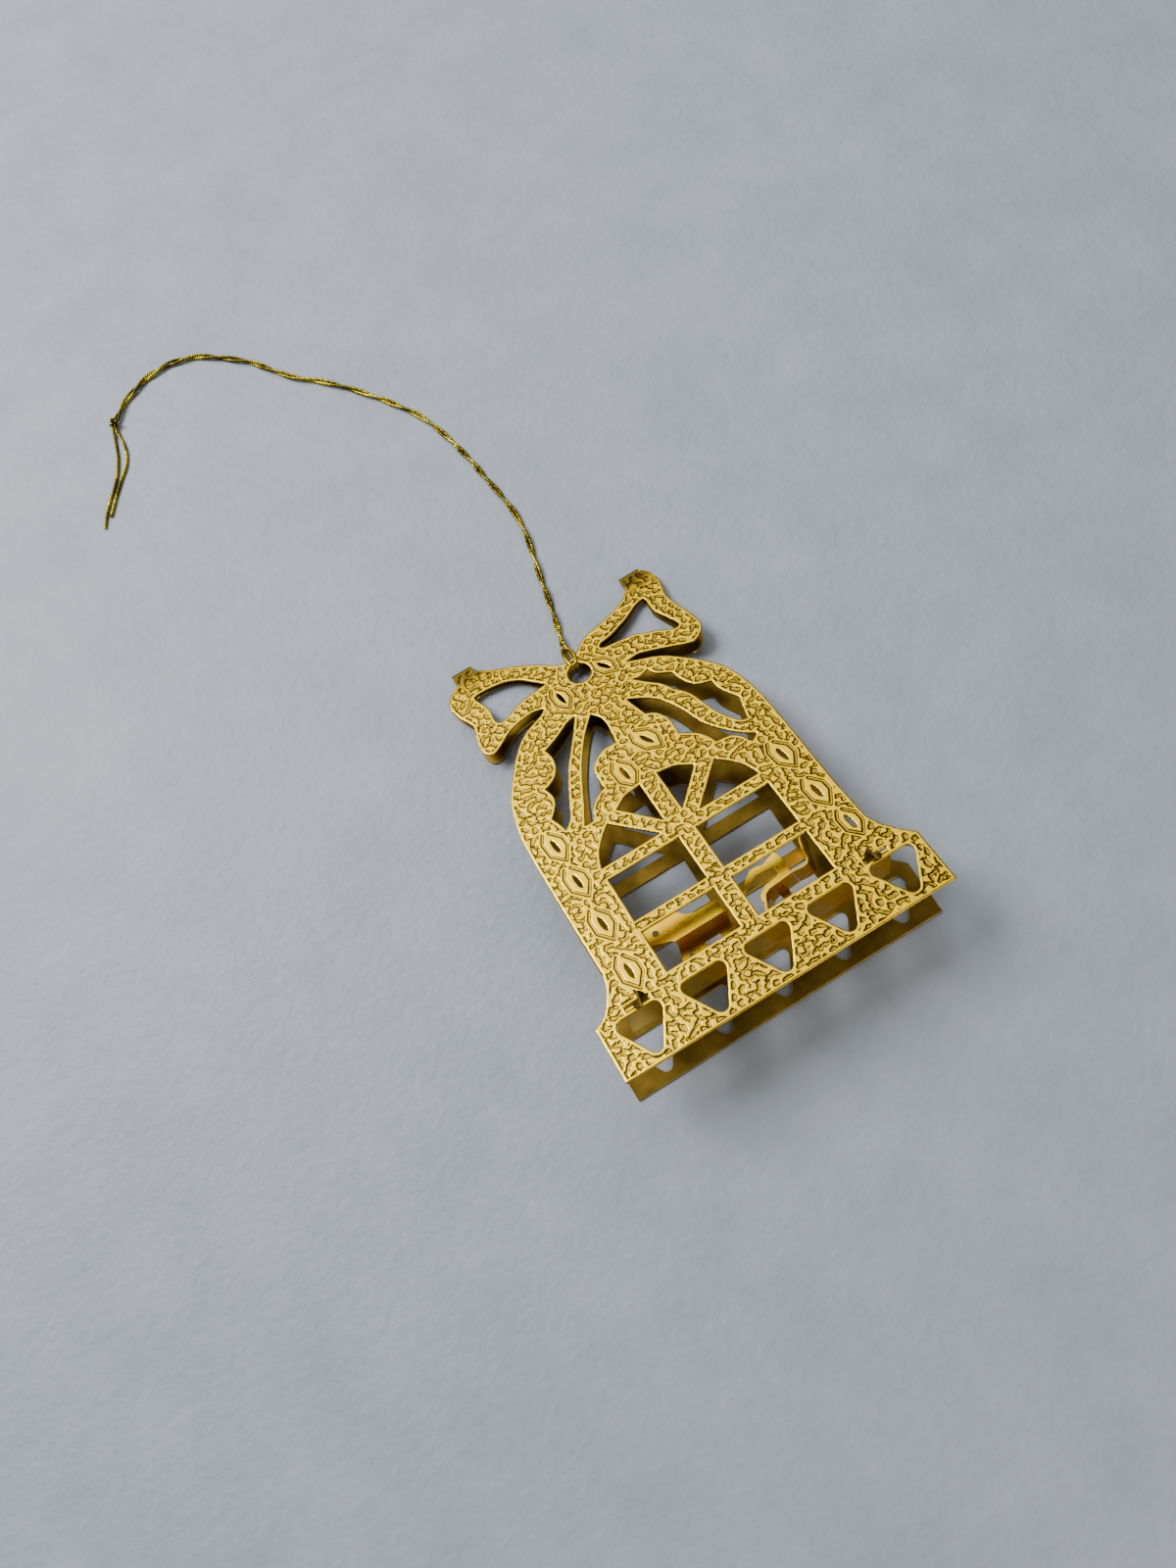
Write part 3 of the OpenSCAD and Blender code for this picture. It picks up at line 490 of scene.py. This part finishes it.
# %% Overhand knot
KNOT_RADIUS = 0.24
KNOT_STRETCH = (0.225, 0.225, 0.3)
KNOT_TURN = math.radians(40)
angles = np.linspace(0, 2 * math.pi, 90)
trefoil = np.stack([np.sin(angles) + 2 * np.sin(2 * angles), np.cos(angles) - 2 * np.cos(2 * angles),
    -1.25 * np.sin(3 * angles)], axis=1)
knot_turn = np.array(Matrix.Rotation(KNOT_TURN, 3, "Z"))
knot_line = trefoil * KNOT_STRETCH @ knot_turn.T + np.array(knot_place)
knot = thread("cord_overhand_knot", knot_line, Radius=KNOT_RADIUS * MM)

# %% What the cord's pieces stand for and ride on
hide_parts("cord_loop", "cord_tail_long")
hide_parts("cord_loop", "cord_tail_short")
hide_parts("cord_hitch")
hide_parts("cord_knot")
for piece in (first_strand, second_strand, knot):
    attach(piece, "back_leaf")
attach(hitch, "front_leaf")
print("cords", first_strand.name, "and", second_strand.name)

# %% [markdown]
# ## Reading a leaf's outline back from the CAD
# To etch a face it needs thousands of points, and the CAD face has only its edge. Its boundary is read as
# closed loops, and the curved runs are rounded by passing a smooth curve through their corners, while
# straight sides and sharp corners are kept. Each loop runs with the brass on its left.

# %% Boundary loops of the outer face
SHEET = 0.35
# Corners of the CAD's loose triangles that lie closer than this, in millimetres, are one corner
MERGE = 0.002
# A face counts as flat when its normal is this upright
UPRIGHT = 0.99


def face_loops(node, place, outward):
    """The closed loops round a node's outer face, in the flat drawing's millimetres"""
    work = bmesh.new()
    work.from_mesh(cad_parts[node].data)
    work.transform(place.inverted() @ Matrix.Scale(1 / MM, 4))
    bmesh.ops.remove_doubles(work, verts=work.verts, dist=MERGE)
    # An edge between two faces of the sheet runs both ways and cancels out, so the boundary is left
    follows = {}
    for face in work.faces:
        if face.normal.z * outward < UPRIGHT or abs(face.calc_center_median().z) > 0.02:
            continue
        around = [v.index for v in face.verts]
        for a, b in zip(around, around[1:] + around[:1]):
            if (b, a) in follows:
                del follows[(b, a)]
            else:
                follows[(a, b)] = True
    after = {(a if outward > 0 else b): (b if outward > 0 else a) for a, b in follows}
    work.verts.ensure_lookup_table()
    flat = {i: (work.verts[i].co.x, work.verts[i].co.y) for i in after}
    loops = []
    while after:
        here, loop = next(iter(after)), []
        while here in after:
            loop.append(flat[here])
            here = after.pop(here)
        loops.append(np.array(loop))
    work.free()
    return loops


# %% Rounding the curved runs of a loop
# A bend above this angle is a real corner, a side above this length is really straight, and the rest is cut
# into steps of at most this length
CORNER = math.radians(30)
LONG_EDGE = 2.3
EDGE_STEP = 0.3


def rounded_loop(loop):
    """The same loop with a smooth curve through its curved runs, cut into short steps"""
    side = np.roll(loop, -1, axis=0) - loop
    length = np.linalg.norm(side, axis=1)
    heading = np.arctan2(side[:, 1], side[:, 0])
    bend = np.abs((heading - np.roll(heading, 1) + math.pi) % (2 * math.pi) - math.pi)
    corner = (bend > CORNER) | (length > LONG_EDGE) | (np.roll(length, 1) > LONG_EDGE)
    count, out = len(loop), []
    for i in range(count):
        a, b = loop[i], loop[(i + 1) % count]
        steps = max(1, math.ceil(length[i] / EDGE_STEP))
        t = (np.arange(steps) / steps)[:, None]
        if corner[i] and corner[(i + 1) % count]:
            out.append(a + t * (b - a))
            continue
        before = 2 * a - b if corner[i] else loop[i - 1]
        beyond = 2 * b - a if corner[(i + 1) % count] else loop[(i + 2) % count]
        leave = (b - before) * length[i] / max(np.linalg.norm(b - before), 1e-9)
        arrive = (beyond - a) * length[i] / max(np.linalg.norm(beyond - a), 1e-9)
        out.append((2 * t ** 3 - 3 * t ** 2 + 1) * a + (t ** 3 - 2 * t ** 2 + t) * leave
            + (3 * t ** 2 - 2 * t ** 3) * b + (t ** 3 - t ** 2) * arrive)
    return np.vstack(out)


front_loops = [rounded_loop(loop) for loop in face_loops("front_plate", front_place, 1)]
back_loops = [rounded_loop(loop) for loop in face_loops("back_plate", back_place, -1)]
print("loops", len(front_loops), len(back_loops), "points", sum(map(len, front_loops + back_loops)))

# %% [markdown]
# ## The etched drawing
# The maker's pattern is a scatter of worm-like patches with a clear rim along every edge, round small
# leaves. A sum of waves of nearly the same length makes a smooth random field, and where it is above a
# level it makes such worms. Divided by its slope it gives the distance to the nearest wall, so the walls
# stay crisp between points. A leaf is a band round six corners, open towards the bow and pointed below.

# %% A smooth random field
def waves(points, length, seed, count=110):
    """A sum of waves about this long, in random directions, with its slope along x and y"""
    rng = np.random.default_rng(seed)
    angle = rng.uniform(0, 2 * math.pi, count)
    size = 2 * math.pi / length * rng.uniform(0.8, 1.25, count)
    shift = rng.uniform(0, 2 * math.pi, count)
    total = np.zeros((3, len(points)))
    for kx, ky, start in zip(size * np.cos(angle), size * np.sin(angle), shift):
        at = kx * points[:, 0] + ky * points[:, 1] + start
        total += np.stack([np.cos(at), -kx * np.sin(at), -ky * np.sin(at)])
    return total * math.sqrt(2 / count)


# %% Distance to a line, and the inside of loops
# Points are tested in bands of about this many, so each band only meets the edges at its own height
BAND_POINTS = 2000


def line_distance(points, line):
    """Distance from each point to the nearest place on a line of straight runs"""
    nearest = np.full(len(points), 99.0)
    for a, b in zip(line, line[1:]):
        along = np.clip((points - a) @ (b - a) / ((b - a) @ (b - a)), 0, 1)
        nearest = np.minimum(nearest, np.linalg.norm(points - a - along[:, None] * (b - a), axis=1))
    return nearest


def inside(points, loops):
    """Whether each point has an odd number of edges to its right, so lies inside the loops"""
    ends = np.vstack([np.c_[loop, np.roll(loop, -1, axis=0)] for loop in loops])
    found = np.zeros(len(points), bool)
    order = np.argsort(points[:, 1])
    for part in np.array_split(order, max(1, len(points) // BAND_POINTS)):
        low, high = points[part, 1].min(), points[part, 1].max()
        lower, upper = np.minimum(ends[:, 1], ends[:, 3]), np.maximum(ends[:, 1], ends[:, 3])
        near = ends[(lower <= high) & (upper >= low)]
        x, y = points[part, 0:1], points[part, 1:2]
        spans = (near[:, 1] > y) != (near[:, 3] > y)
        with np.errstate(divide="ignore", invalid="ignore"):
            cross = near[:, 0] + (y - near[:, 1]) * (near[:, 2] - near[:, 0]) / (near[:, 3] - near[:, 1])
        found[part] = (spans & (x < cross)).sum(axis=1) % 2 == 1
    return found


# %% Leaves, and the distance to the nearest etched wall
# Clear rim along every edge, half the width of a leaf's sunk band, and the clear margin outside it
RIM = 0.5
BAND_HALF = 0.2
LEAF_MARGIN = 0.62
# Middle, turn in degrees and size of each leaf on the drawing, and the six corners of its band
LEAVES = [(-4.25, 46.5, 8, 0.85), (4.1, 47.7, 34, 0.85), (-2.75, 29.3, 8, 1), (2.8, 32.4, 30, 1),
    (-17, 24.8, 8, 1), (-16.95, 18.2, 7, 1), (-17.1, 10.7, 5, 1), (-17.4, 2.8, 3, 1),
    (17.4, 18.7, 10, 1), (18, 11, 8, 1), (19, 4.5, 8, 0.9)]
LEAF_LINE = np.array([(-0.45, 2.65), (-1.3, 1.5), (-1.45, -0.8), (0, -2.85), (1.55, -0.95), (1.65, 0.6),
    (0.5, 2.4)])
LEAF_REACH = 5
# The field is sunk above this level. The softener keeps the distance finite where the field is flat.
WORM_LEVEL = 0.25
SOFTENER = 1.5
# Distances are kept to this many millimetres, and the untouched rim has the whole of it
FAR = 0.5


def etched_distance(points, edge_distance):
    """Millimetres inward from the nearest wall of a sunk patch, negative where the face is untouched"""
    value, slope_x, slope_y = (waves(points, 1.3, 11) + 0.35 * waves(points, 0.72, 23)
        + 0.16 * waves(points, 0.45, 31))
    inward = (value - WORM_LEVEL) / np.sqrt(slope_x ** 2 + slope_y ** 2 + SOFTENER)
    for x, y, turn, size in LEAVES:
        near = np.abs(points - (x, y)).max(axis=1) < LEAF_REACH
        if not near.any():
            continue
        c, s = math.cos(math.radians(turn)), math.sin(math.radians(turn))
        local = (points[near] - (x, y)) @ np.array([(c, -s), (s, c)]) / size
        far = line_distance(local, LEAF_LINE) * size
        within = inside(local, [LEAF_LINE])
        clear = np.where(within, -1, far - LEAF_MARGIN)
        inward[near] = np.maximum(np.minimum(inward[near], clear), BAND_HALF - far)
    return np.clip(np.minimum(inward, edge_distance - RIM), -FAR, FAR)


print(len(LEAVES), "leaves, each about", round(np.ptp(LEAF_LINE[:, 1]), 1), "mm long")

# %% [markdown]
# ## Building an etched leaf
# The face is filled with points 0.155 mm apart in a triangle pattern, with a ring of points just inside
# each edge. The edge itself sits a little lower than that ring, as a worn etched edge does, and catches the
# light. A constrained Delaunay fill joins them all. Walls and a plain inner face close the sheet.

# %% Filling loops with triangles
def fill(loops, extra):
    """Points and triangles that fill the loops through the extra points, and the loops' edges"""
    rim = np.vstack(loops)
    edges, first = [], 0
    for loop in loops:
        edges += [(first + i, first + (i + 1) % len(loop)) for i in range(len(loop))]
        first += len(loop)
    points = np.vstack([rim, extra]) if len(extra) else rim
    result = delaunay_2d_cdt([Vector(p) for p in points], edges, [], 0, 1e-7)
    source = [given_ids[0] for given_ids in result[3]]
    triangles = np.array([[source[i] for i in face] for face in result[2]])
    # Only a triangle with all its corners on the loops can lie outside them, or in a hole
    on_rim = (triangles < len(rim)).all(axis=1)
    keep = np.ones(len(triangles), bool)
    keep[on_rim] = inside(points[triangles[on_rim]].mean(axis=1), loops)
    return points, triangles[keep], edges


def inset(loop, width):
    """The loop moved into the brass on its left"""
    heading = np.roll(loop, -1, axis=0) - np.roll(loop, 1, axis=0)
    inward = np.stack([-heading[:, 1], heading[:, 0]], axis=1)
    return loop + width * inward / np.linalg.norm(inward, axis=1)[:, None]


def rim_tree(rim):
    """A function that gives the distance from points to the nearest rim point"""
    tree = KDTree(len(rim))
    for i, (x, y) in enumerate(rim):
        tree.insert((x, y, 0), i)
    tree.balance()
    return lambda points: np.array([tree.find((x, y, 0))[2] for x, y in points])


# %% Points of a leaf's face
SPACING = 0.155
# The ring lies this far inside the edge, less near a sharp corner, and the pattern keeps clear of it
EDGE_RING = 0.09
RING_LEAST = 0.85
RING_CLEAR = 0.09


def face_points(loops, rim, edge_distance):
    """A ring just inside each edge, and a triangle pattern over the rest"""
    rings = np.vstack([inset(loop, EDGE_RING) for loop in loops])
    rings = rings[edge_distance(rings) > EDGE_RING * RING_LEAST]
    low, high = rim.min(axis=0), rim.max(axis=0)
    across = np.arange(low[0], high[0], SPACING)
    rows = np.arange(low[1], high[1], SPACING * math.sqrt(0.75))
    grid = np.vstack([np.c_[across + SPACING / 2 * (k % 2), np.full(len(across), y)]
        for k, y in enumerate(rows)])
    grid = grid[inside(grid, loops)]
    return rings, grid[edge_distance(grid) > EDGE_RING + RING_CLEAR]


# %% Depth of the etch
ETCH_DEPTH = 0.07
# A wall starts this far outside its line and is this wide in all
WALL_START = 0.12
WALL_WIDTH = 0.26


def etch_depth(inward):
    """Depth of the face below its untouched level, with a rounded step at each wall"""
    part = np.clip((inward + WALL_START) / WALL_WIDTH, 0, 1)
    return ETCH_DEPTH * part * part * (3 - 2 * part)


print("depth at a wall's line", round(float(etch_depth(0)), 3), "mm, on a floor", ETCH_DEPTH, "mm")

# %% Corners and faces of a leaf
# The edge is worn this much lower than the face, and the inner edge is rubbed to a narrow bright slope
EDGE_DROP = 0.045
INNER_EDGE = 0.05
# Where the face ends at the crease it runs on into the fold straps, so it has no rim there
FOLD_LINE = 57.3


def leaf_shape(loops, outward):
    """Corners, faces, how many of them are etched and lacquered, and the etch at each corner"""
    rim = np.vstack(loops)
    cut_distance = rim_tree(rim[rim[:, 1] < FOLD_LINE])
    rings, grid = face_points(loops, rim, rim_tree(rim))
    points, triangles, edges = fill(loops, np.vstack([rings, grid]))
    inward = np.full(len(points), -FAR)
    inward[len(rim) + len(rings):] = etched_distance(grid, cut_distance(grid))
    sink = etch_depth(inward)
    sink[:len(rim)] = np.where(rim[:, 1] > FOLD_LINE, 0, EDGE_DROP)
    low_loops = [inset(loop, INNER_EDGE) for loop in loops]
    _, under_triangles, _ = fill(low_loops, np.zeros((0, 2)))
    top = np.c_[points, -outward * sink]
    low_edge = np.c_[rim, np.full(len(rim), -outward * (SHEET - INNER_EDGE))]
    under = np.c_[np.vstack(low_loops), np.full(len(rim), -outward * SHEET)]
    side, bottom = len(points), len(points) + len(rim)
    turn_over = slice(None, None, 1 if outward > 0 else -1)
    faces = [tuple(t[turn_over]) for t in triangles.tolist()]
    faces += [(a + side, a + bottom, b + bottom, b + side)[turn_over] for a, b in edges]
    bright = len(faces)
    faces += [(a, a + side, b + side, b)[turn_over] for a, b in edges]
    faces += [tuple((i + bottom for i in t[::-1][turn_over])) for t in under_triangles.tolist()]
    etch = np.concatenate([inward, np.full(2 * len(rim), -FAR)])
    return np.vstack([top, low_edge, under]), faces, len(triangles), bright, etch


# %% The two leaves
def etched_leaf(name, node, place, outward, loops):
    """A leaf as one mesh, in its place, that stands for its CAD node"""
    corners, faces, etched, bright, etch = leaf_shape(loops, outward)
    mesh = bpy.data.meshes.new(name)
    mesh.from_pydata([(place @ Vector(c)) * MM for c in corners.tolist()], [], faces)
    count = np.arange(len(faces))
    mesh.polygons.foreach_set("use_smooth", count < etched)
    mesh.attributes.new("etch", "FLOAT", "POINT").data.foreach_set("value", etch.astype(np.float32))
    mesh.materials.append(etched_brass)
    mesh.materials.append(dull_shaded_brass)
    mesh.polygons.foreach_set("material_index", (count >= bright).astype(np.int32))
    piece = bpy.data.objects.new(name, mesh)
    bpy.context.collection.objects.link(piece)
    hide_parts(node)
    print(name, len(mesh.polygons), "faces,", len(loops), "loops")
    return piece


front_leaf = etched_leaf("front_leaf_etched", "front_plate", front_place, 1, front_loops)
back_leaf = etched_leaf("back_leaf_etched", "back_plate", back_place, -1, back_loops)
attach(front_leaf, "front_leaf")
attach(back_leaf, "back_leaf")

# %% [markdown]
# ## The clip
# The clip's pieces are right in shape, but a cut sheet never has a knife-sharp edge. Each is copied from
# the CAD, its loose triangles are merged into flat faces, and a narrow bevel rounds its edges so that they
# catch a thin highlight.

# %% Softened copies of the clip's pieces
WORN_EDGE = 0.05


def softened(name, node, body, finish):
    """A copy of a CAD node with flat faces and rounded edges, which stands for it"""
    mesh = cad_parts[node].data.copy()
    mesh.name = name
    work = bmesh.new()
    work.from_mesh(mesh)
    bmesh.ops.remove_doubles(work, verts=work.verts, dist=MERGE * MM)
    bmesh.ops.dissolve_limit(work, angle_limit=math.radians(1.5), verts=work.verts, edges=work.edges)
    bmesh.ops.recalc_face_normals(work, faces=work.faces)
    work.to_mesh(mesh)
    work.free()
    mesh.materials.clear()
    mesh.materials.append(finish)
    piece = bpy.data.objects.new(name, mesh)
    bpy.context.collection.objects.link(piece)
    bevel = piece.modifiers.new("worn_edges", "BEVEL")
    bevel.width = WORN_EDGE * MM
    bevel.segments = 2
    bevel.limit_method = "ANGLE"
    bevel.angle_limit = math.radians(40)
    bevel.harden_normals = False
    bpy.context.view_layer.update()
    made = bpy.data.meshes.new_from_object(piece.evaluated_get(bpy.context.evaluated_depsgraph_get()))
    piece.modifiers.remove(bevel)
    piece.data = made
    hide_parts(node)
    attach(piece, body)
    print(name, len(made.polygons), "faces")


for node, body, finish in (("clip_shelf", "front_leaf", plain_brass),
        ("left_twist_tab", "front_leaf", wrung_brass), ("right_twist_tab", "front_leaf", wrung_brass),
        ("left_jaw", "left_clip_jaw", plain_brass), ("right_jaw", "right_clip_jaw", plain_brass),
        ("spring_finger", "clip_finger", plain_brass)):
    softened(node + "_sheet", node, body, finish)

# %% [markdown]
# ## Fold straps
# The bow tips run on past the crease and over the fold. Their two flat outsides carry the same drawing as
# the leaves, so those faces are taken out of the merged copy and filled again with fine points, on the
# same edge vertices, while the hairpin bend between them stays as it is.

# %% Edge and points of a strap's flat outside
# Each side of the outline is measured from this many places, the fine points keep this clear of it, and
# the rim starts this far past the fold line
SIDE_STEPS = 12
STRAP_CLEAR = 0.08
STRAP_RIM = 0.4


def rim_of(flat, outward):
    """The vertices round some flat faces, in order, with the faces on the left"""
    follows = {}
    for face in flat:
        for loop in face.loops:
            if sum(f in flat for f in loop.edge.link_faces) == 1:
                a, b = loop.vert, loop.link_loop_next.vert
                follows[a if outward > 0 else b] = b if outward > 0 else a
    here, rim_verts = next(iter(follows)), []
    while here in follows:
        rim_verts.append(here)
        here = follows.pop(here)
    return rim_verts


def strap_points(rim):
    """Fine points inside the outline, and the etch at each"""
    dense = np.vstack([a + np.linspace(0, 1, SIDE_STEPS, endpoint=False)[:, None] * (b - a)
        for a, b in zip(rim, np.roll(rim, -1, axis=0))])
    low, high = rim.min(axis=0), rim.max(axis=0)
    across, up = np.meshgrid(np.arange(low[0], high[0], SPACING), np.arange(low[1], high[1], SPACING))
    grid = np.c_[across.ravel(), up.ravel()]
    grid = grid[inside(grid, [rim])]
    grid = grid[rim_tree(dense)(grid) > STRAP_CLEAR]
    cut_distance = rim_tree(dense[dense[:, 1] > FOLD_LINE + STRAP_RIM])
    return grid, etched_distance(grid, cut_distance(grid))


# %% The two straps
def etched_strap(node):
    """A copy of a strap with both flat outsides etched, which stands for it"""
    work = bmesh.new()
    work.from_mesh(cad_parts[node].data)
    work.transform(Matrix.Scale(1 / MM, 4))
    bmesh.ops.remove_doubles(work, verts=work.verts, dist=MERGE)
    etch = work.verts.layers.float.new("etch")
    for vert in work.verts:
        vert[etch] = -FAR
    for level, outward in ((CREASE_Z, 1), (0, -1)):
        flat = [f for f in work.faces
            if f.normal.z * outward > UPRIGHT and abs(f.calc_center_median().z - level) < 0.01]
        verts = rim_of(flat, outward)
        rim = np.array([(v.co.x, v.co.y + MIDDLE) for v in verts])
        grid, inward = strap_points(rim)
        _, triangles, _ = fill([rim], grid)
        bmesh.ops.delete(work, geom=flat, context="FACES_ONLY")
        for (x, y), depth, distance in zip(grid, etch_depth(inward), inward):
            vert = work.verts.new((x, y - MIDDLE, level - outward * depth))
            vert[etch] = distance
            verts.append(vert)
        for t in triangles.tolist():
            face = work.faces.new([verts[i] for i in (t if outward > 0 else t[::-1])])
            face.smooth = True
    work.transform(Matrix.Scale(MM, 4))
    mesh = bpy.data.meshes.new(node + "_sheet")
    work.to_mesh(mesh)
    work.free()
    mesh.materials.append(etched_brass)
    piece = bpy.data.objects.new(node + "_sheet", mesh)
    bpy.context.collection.objects.link(piece)
    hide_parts(node)
    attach(piece, "back_leaf")
    print(piece.name, len(mesh.polygons), "faces")


etched_strap("left_fold_strap")
etched_strap("right_fold_strap")

# %% [markdown]
# ## Table
# The ornament lies on a pale painted board. Its paint is satin, so it takes a soft shadow and no clear
# reflection. Rolled paint dries with a faint orange-peel skin and slow clouds of tone, which keep the big
# pale field from looking like empty paper. One large square below the ornament is enough.

# %% Table paint
table_paint = bpy.data.materials.new("satin_painted_board")
table_paint.use_nodes = True
tree = table_paint.node_tree
shader = tree.nodes["Principled BSDF"]
shader.inputs["Roughness"].default_value = 0.55
place = add(tree, "ShaderNodeTexCoord").outputs["Object"]
# Clouds of tone about 17 mm wide, with finer ones in them
tone = add(tree, "ShaderNodeTexNoise", {"Vector": place, "Scale": 60, "Detail": 8, "Roughness": 0.75})
paint = add(tree, "ShaderNodeValToRGB", {"Fac": tone.outputs["Fac"]}, [(0.3, "#9FA7B0"), (0.7, "#B1B9C2")])
tree.links.new(paint.outputs["Color"], shader.inputs["Base Color"])
# Orange-peel skin, with bumps about 1.4 mm apart
skin = add(tree, "ShaderNodeTexNoise", {"Vector": place, "Scale": 700, "Detail": 2})
bump = add(tree, "ShaderNodeBump", {"Height": skin.outputs["Fac"], "Strength": 0.4, "Distance": 0.0004})
tree.links.new(bump.outputs["Normal"], shader.inputs["Normal"])
print(table_paint.name, len(tree.nodes), "nodes")

# %% Table top
TABLE_HALF = 1.5
# A hair below the lowest brass, so that the two surfaces never fight for the same place
TABLE_Z = -0.00003
floor_mesh = bpy.data.meshes.new("table")
floor_mesh.from_pydata([(x * TABLE_HALF, y * TABLE_HALF, TABLE_Z)
    for x, y in ((-1, -1), (1, -1), (1, 1), (-1, 1))], [], [(0, 1, 2, 3)])
floor_mesh.materials.append(table_paint)
floor = bpy.data.objects.new("table", floor_mesh)
bpy.context.collection.objects.link(floor)
print("table", 2 * TABLE_HALF, "m square")

# %% [markdown]
# ## Light
# Polished metal looks like what it mirrors, so the room matters as much as the lamps. A window to the upper
# left gives the main light and the shadow. Beyond the ornament a pale patch of ceiling stands where the
# front face mirrors it, and makes the face bright. A weak doorway at the near side and a pale wall above
# it light the wedge a little, and the face when it is seen from behind. The room itself is dim grey above
# and paler towards the horizon.

# %% Lamps
AIM = Vector((0, 0.01, 0))


def soft_light(name, at, size, power, colour):
    """A round soft lamp at a place in metres, aimed at the ornament, in watts"""
    data = bpy.data.lights.new(name, "AREA")
    data.shape = "DISK"
    data.size = size
    data.energy = power
    data.color = linear(colour)[:3]
    light = bpy.data.objects.new(name, data)
    light.location = at
    light.rotation_euler = (AIM - Vector(at)).to_track_quat("-Z", "Y").to_euler()
    bpy.context.collection.objects.link(light)
    print(name, round((AIM - Vector(at)).length, 2), "m away,", power, "W")


soft_light("window", (-0.32, 0.42, 0.58), 0.40, 6.8, "#FCFDFF")
soft_light("pale_ceiling", (0.06, 0.40, 0.53), 0.5, 1.35, "#FFFFFF")
soft_light("doorway", (0.15, -0.55, 0.22), 0.2, 0.45, "#FFF8EC")
soft_light("pale_wall", (0.18, -0.46, 0.4), 0.42, 0.5, "#FFFCF6")

# %% Room
world = bpy.data.worlds.new("room")
world.use_nodes = True
backdrop = world.node_tree.nodes["Background"]
backdrop.inputs["Color"].default_value = linear("#E8DED4")
# Pale walls near the horizon, a dimmer ceiling above
direction = add(world.node_tree, "ShaderNodeTexCoord").outputs["Generated"]
upward = add(world.node_tree, "ShaderNodeSeparateXYZ", {"Vector": direction}).outputs["Z"]
walls_light = add(world.node_tree, "ShaderNodeMapRange", {"Value": upward, "From Min": 0.0,
    "From Max": 0.55, "To Min": 0.34, "To Max": 0.07})
world.node_tree.links.new(walls_light.outputs[0], backdrop.inputs["Strength"])
bpy.context.scene.world = world
print(world.name, len(world.node_tree.nodes), "nodes")
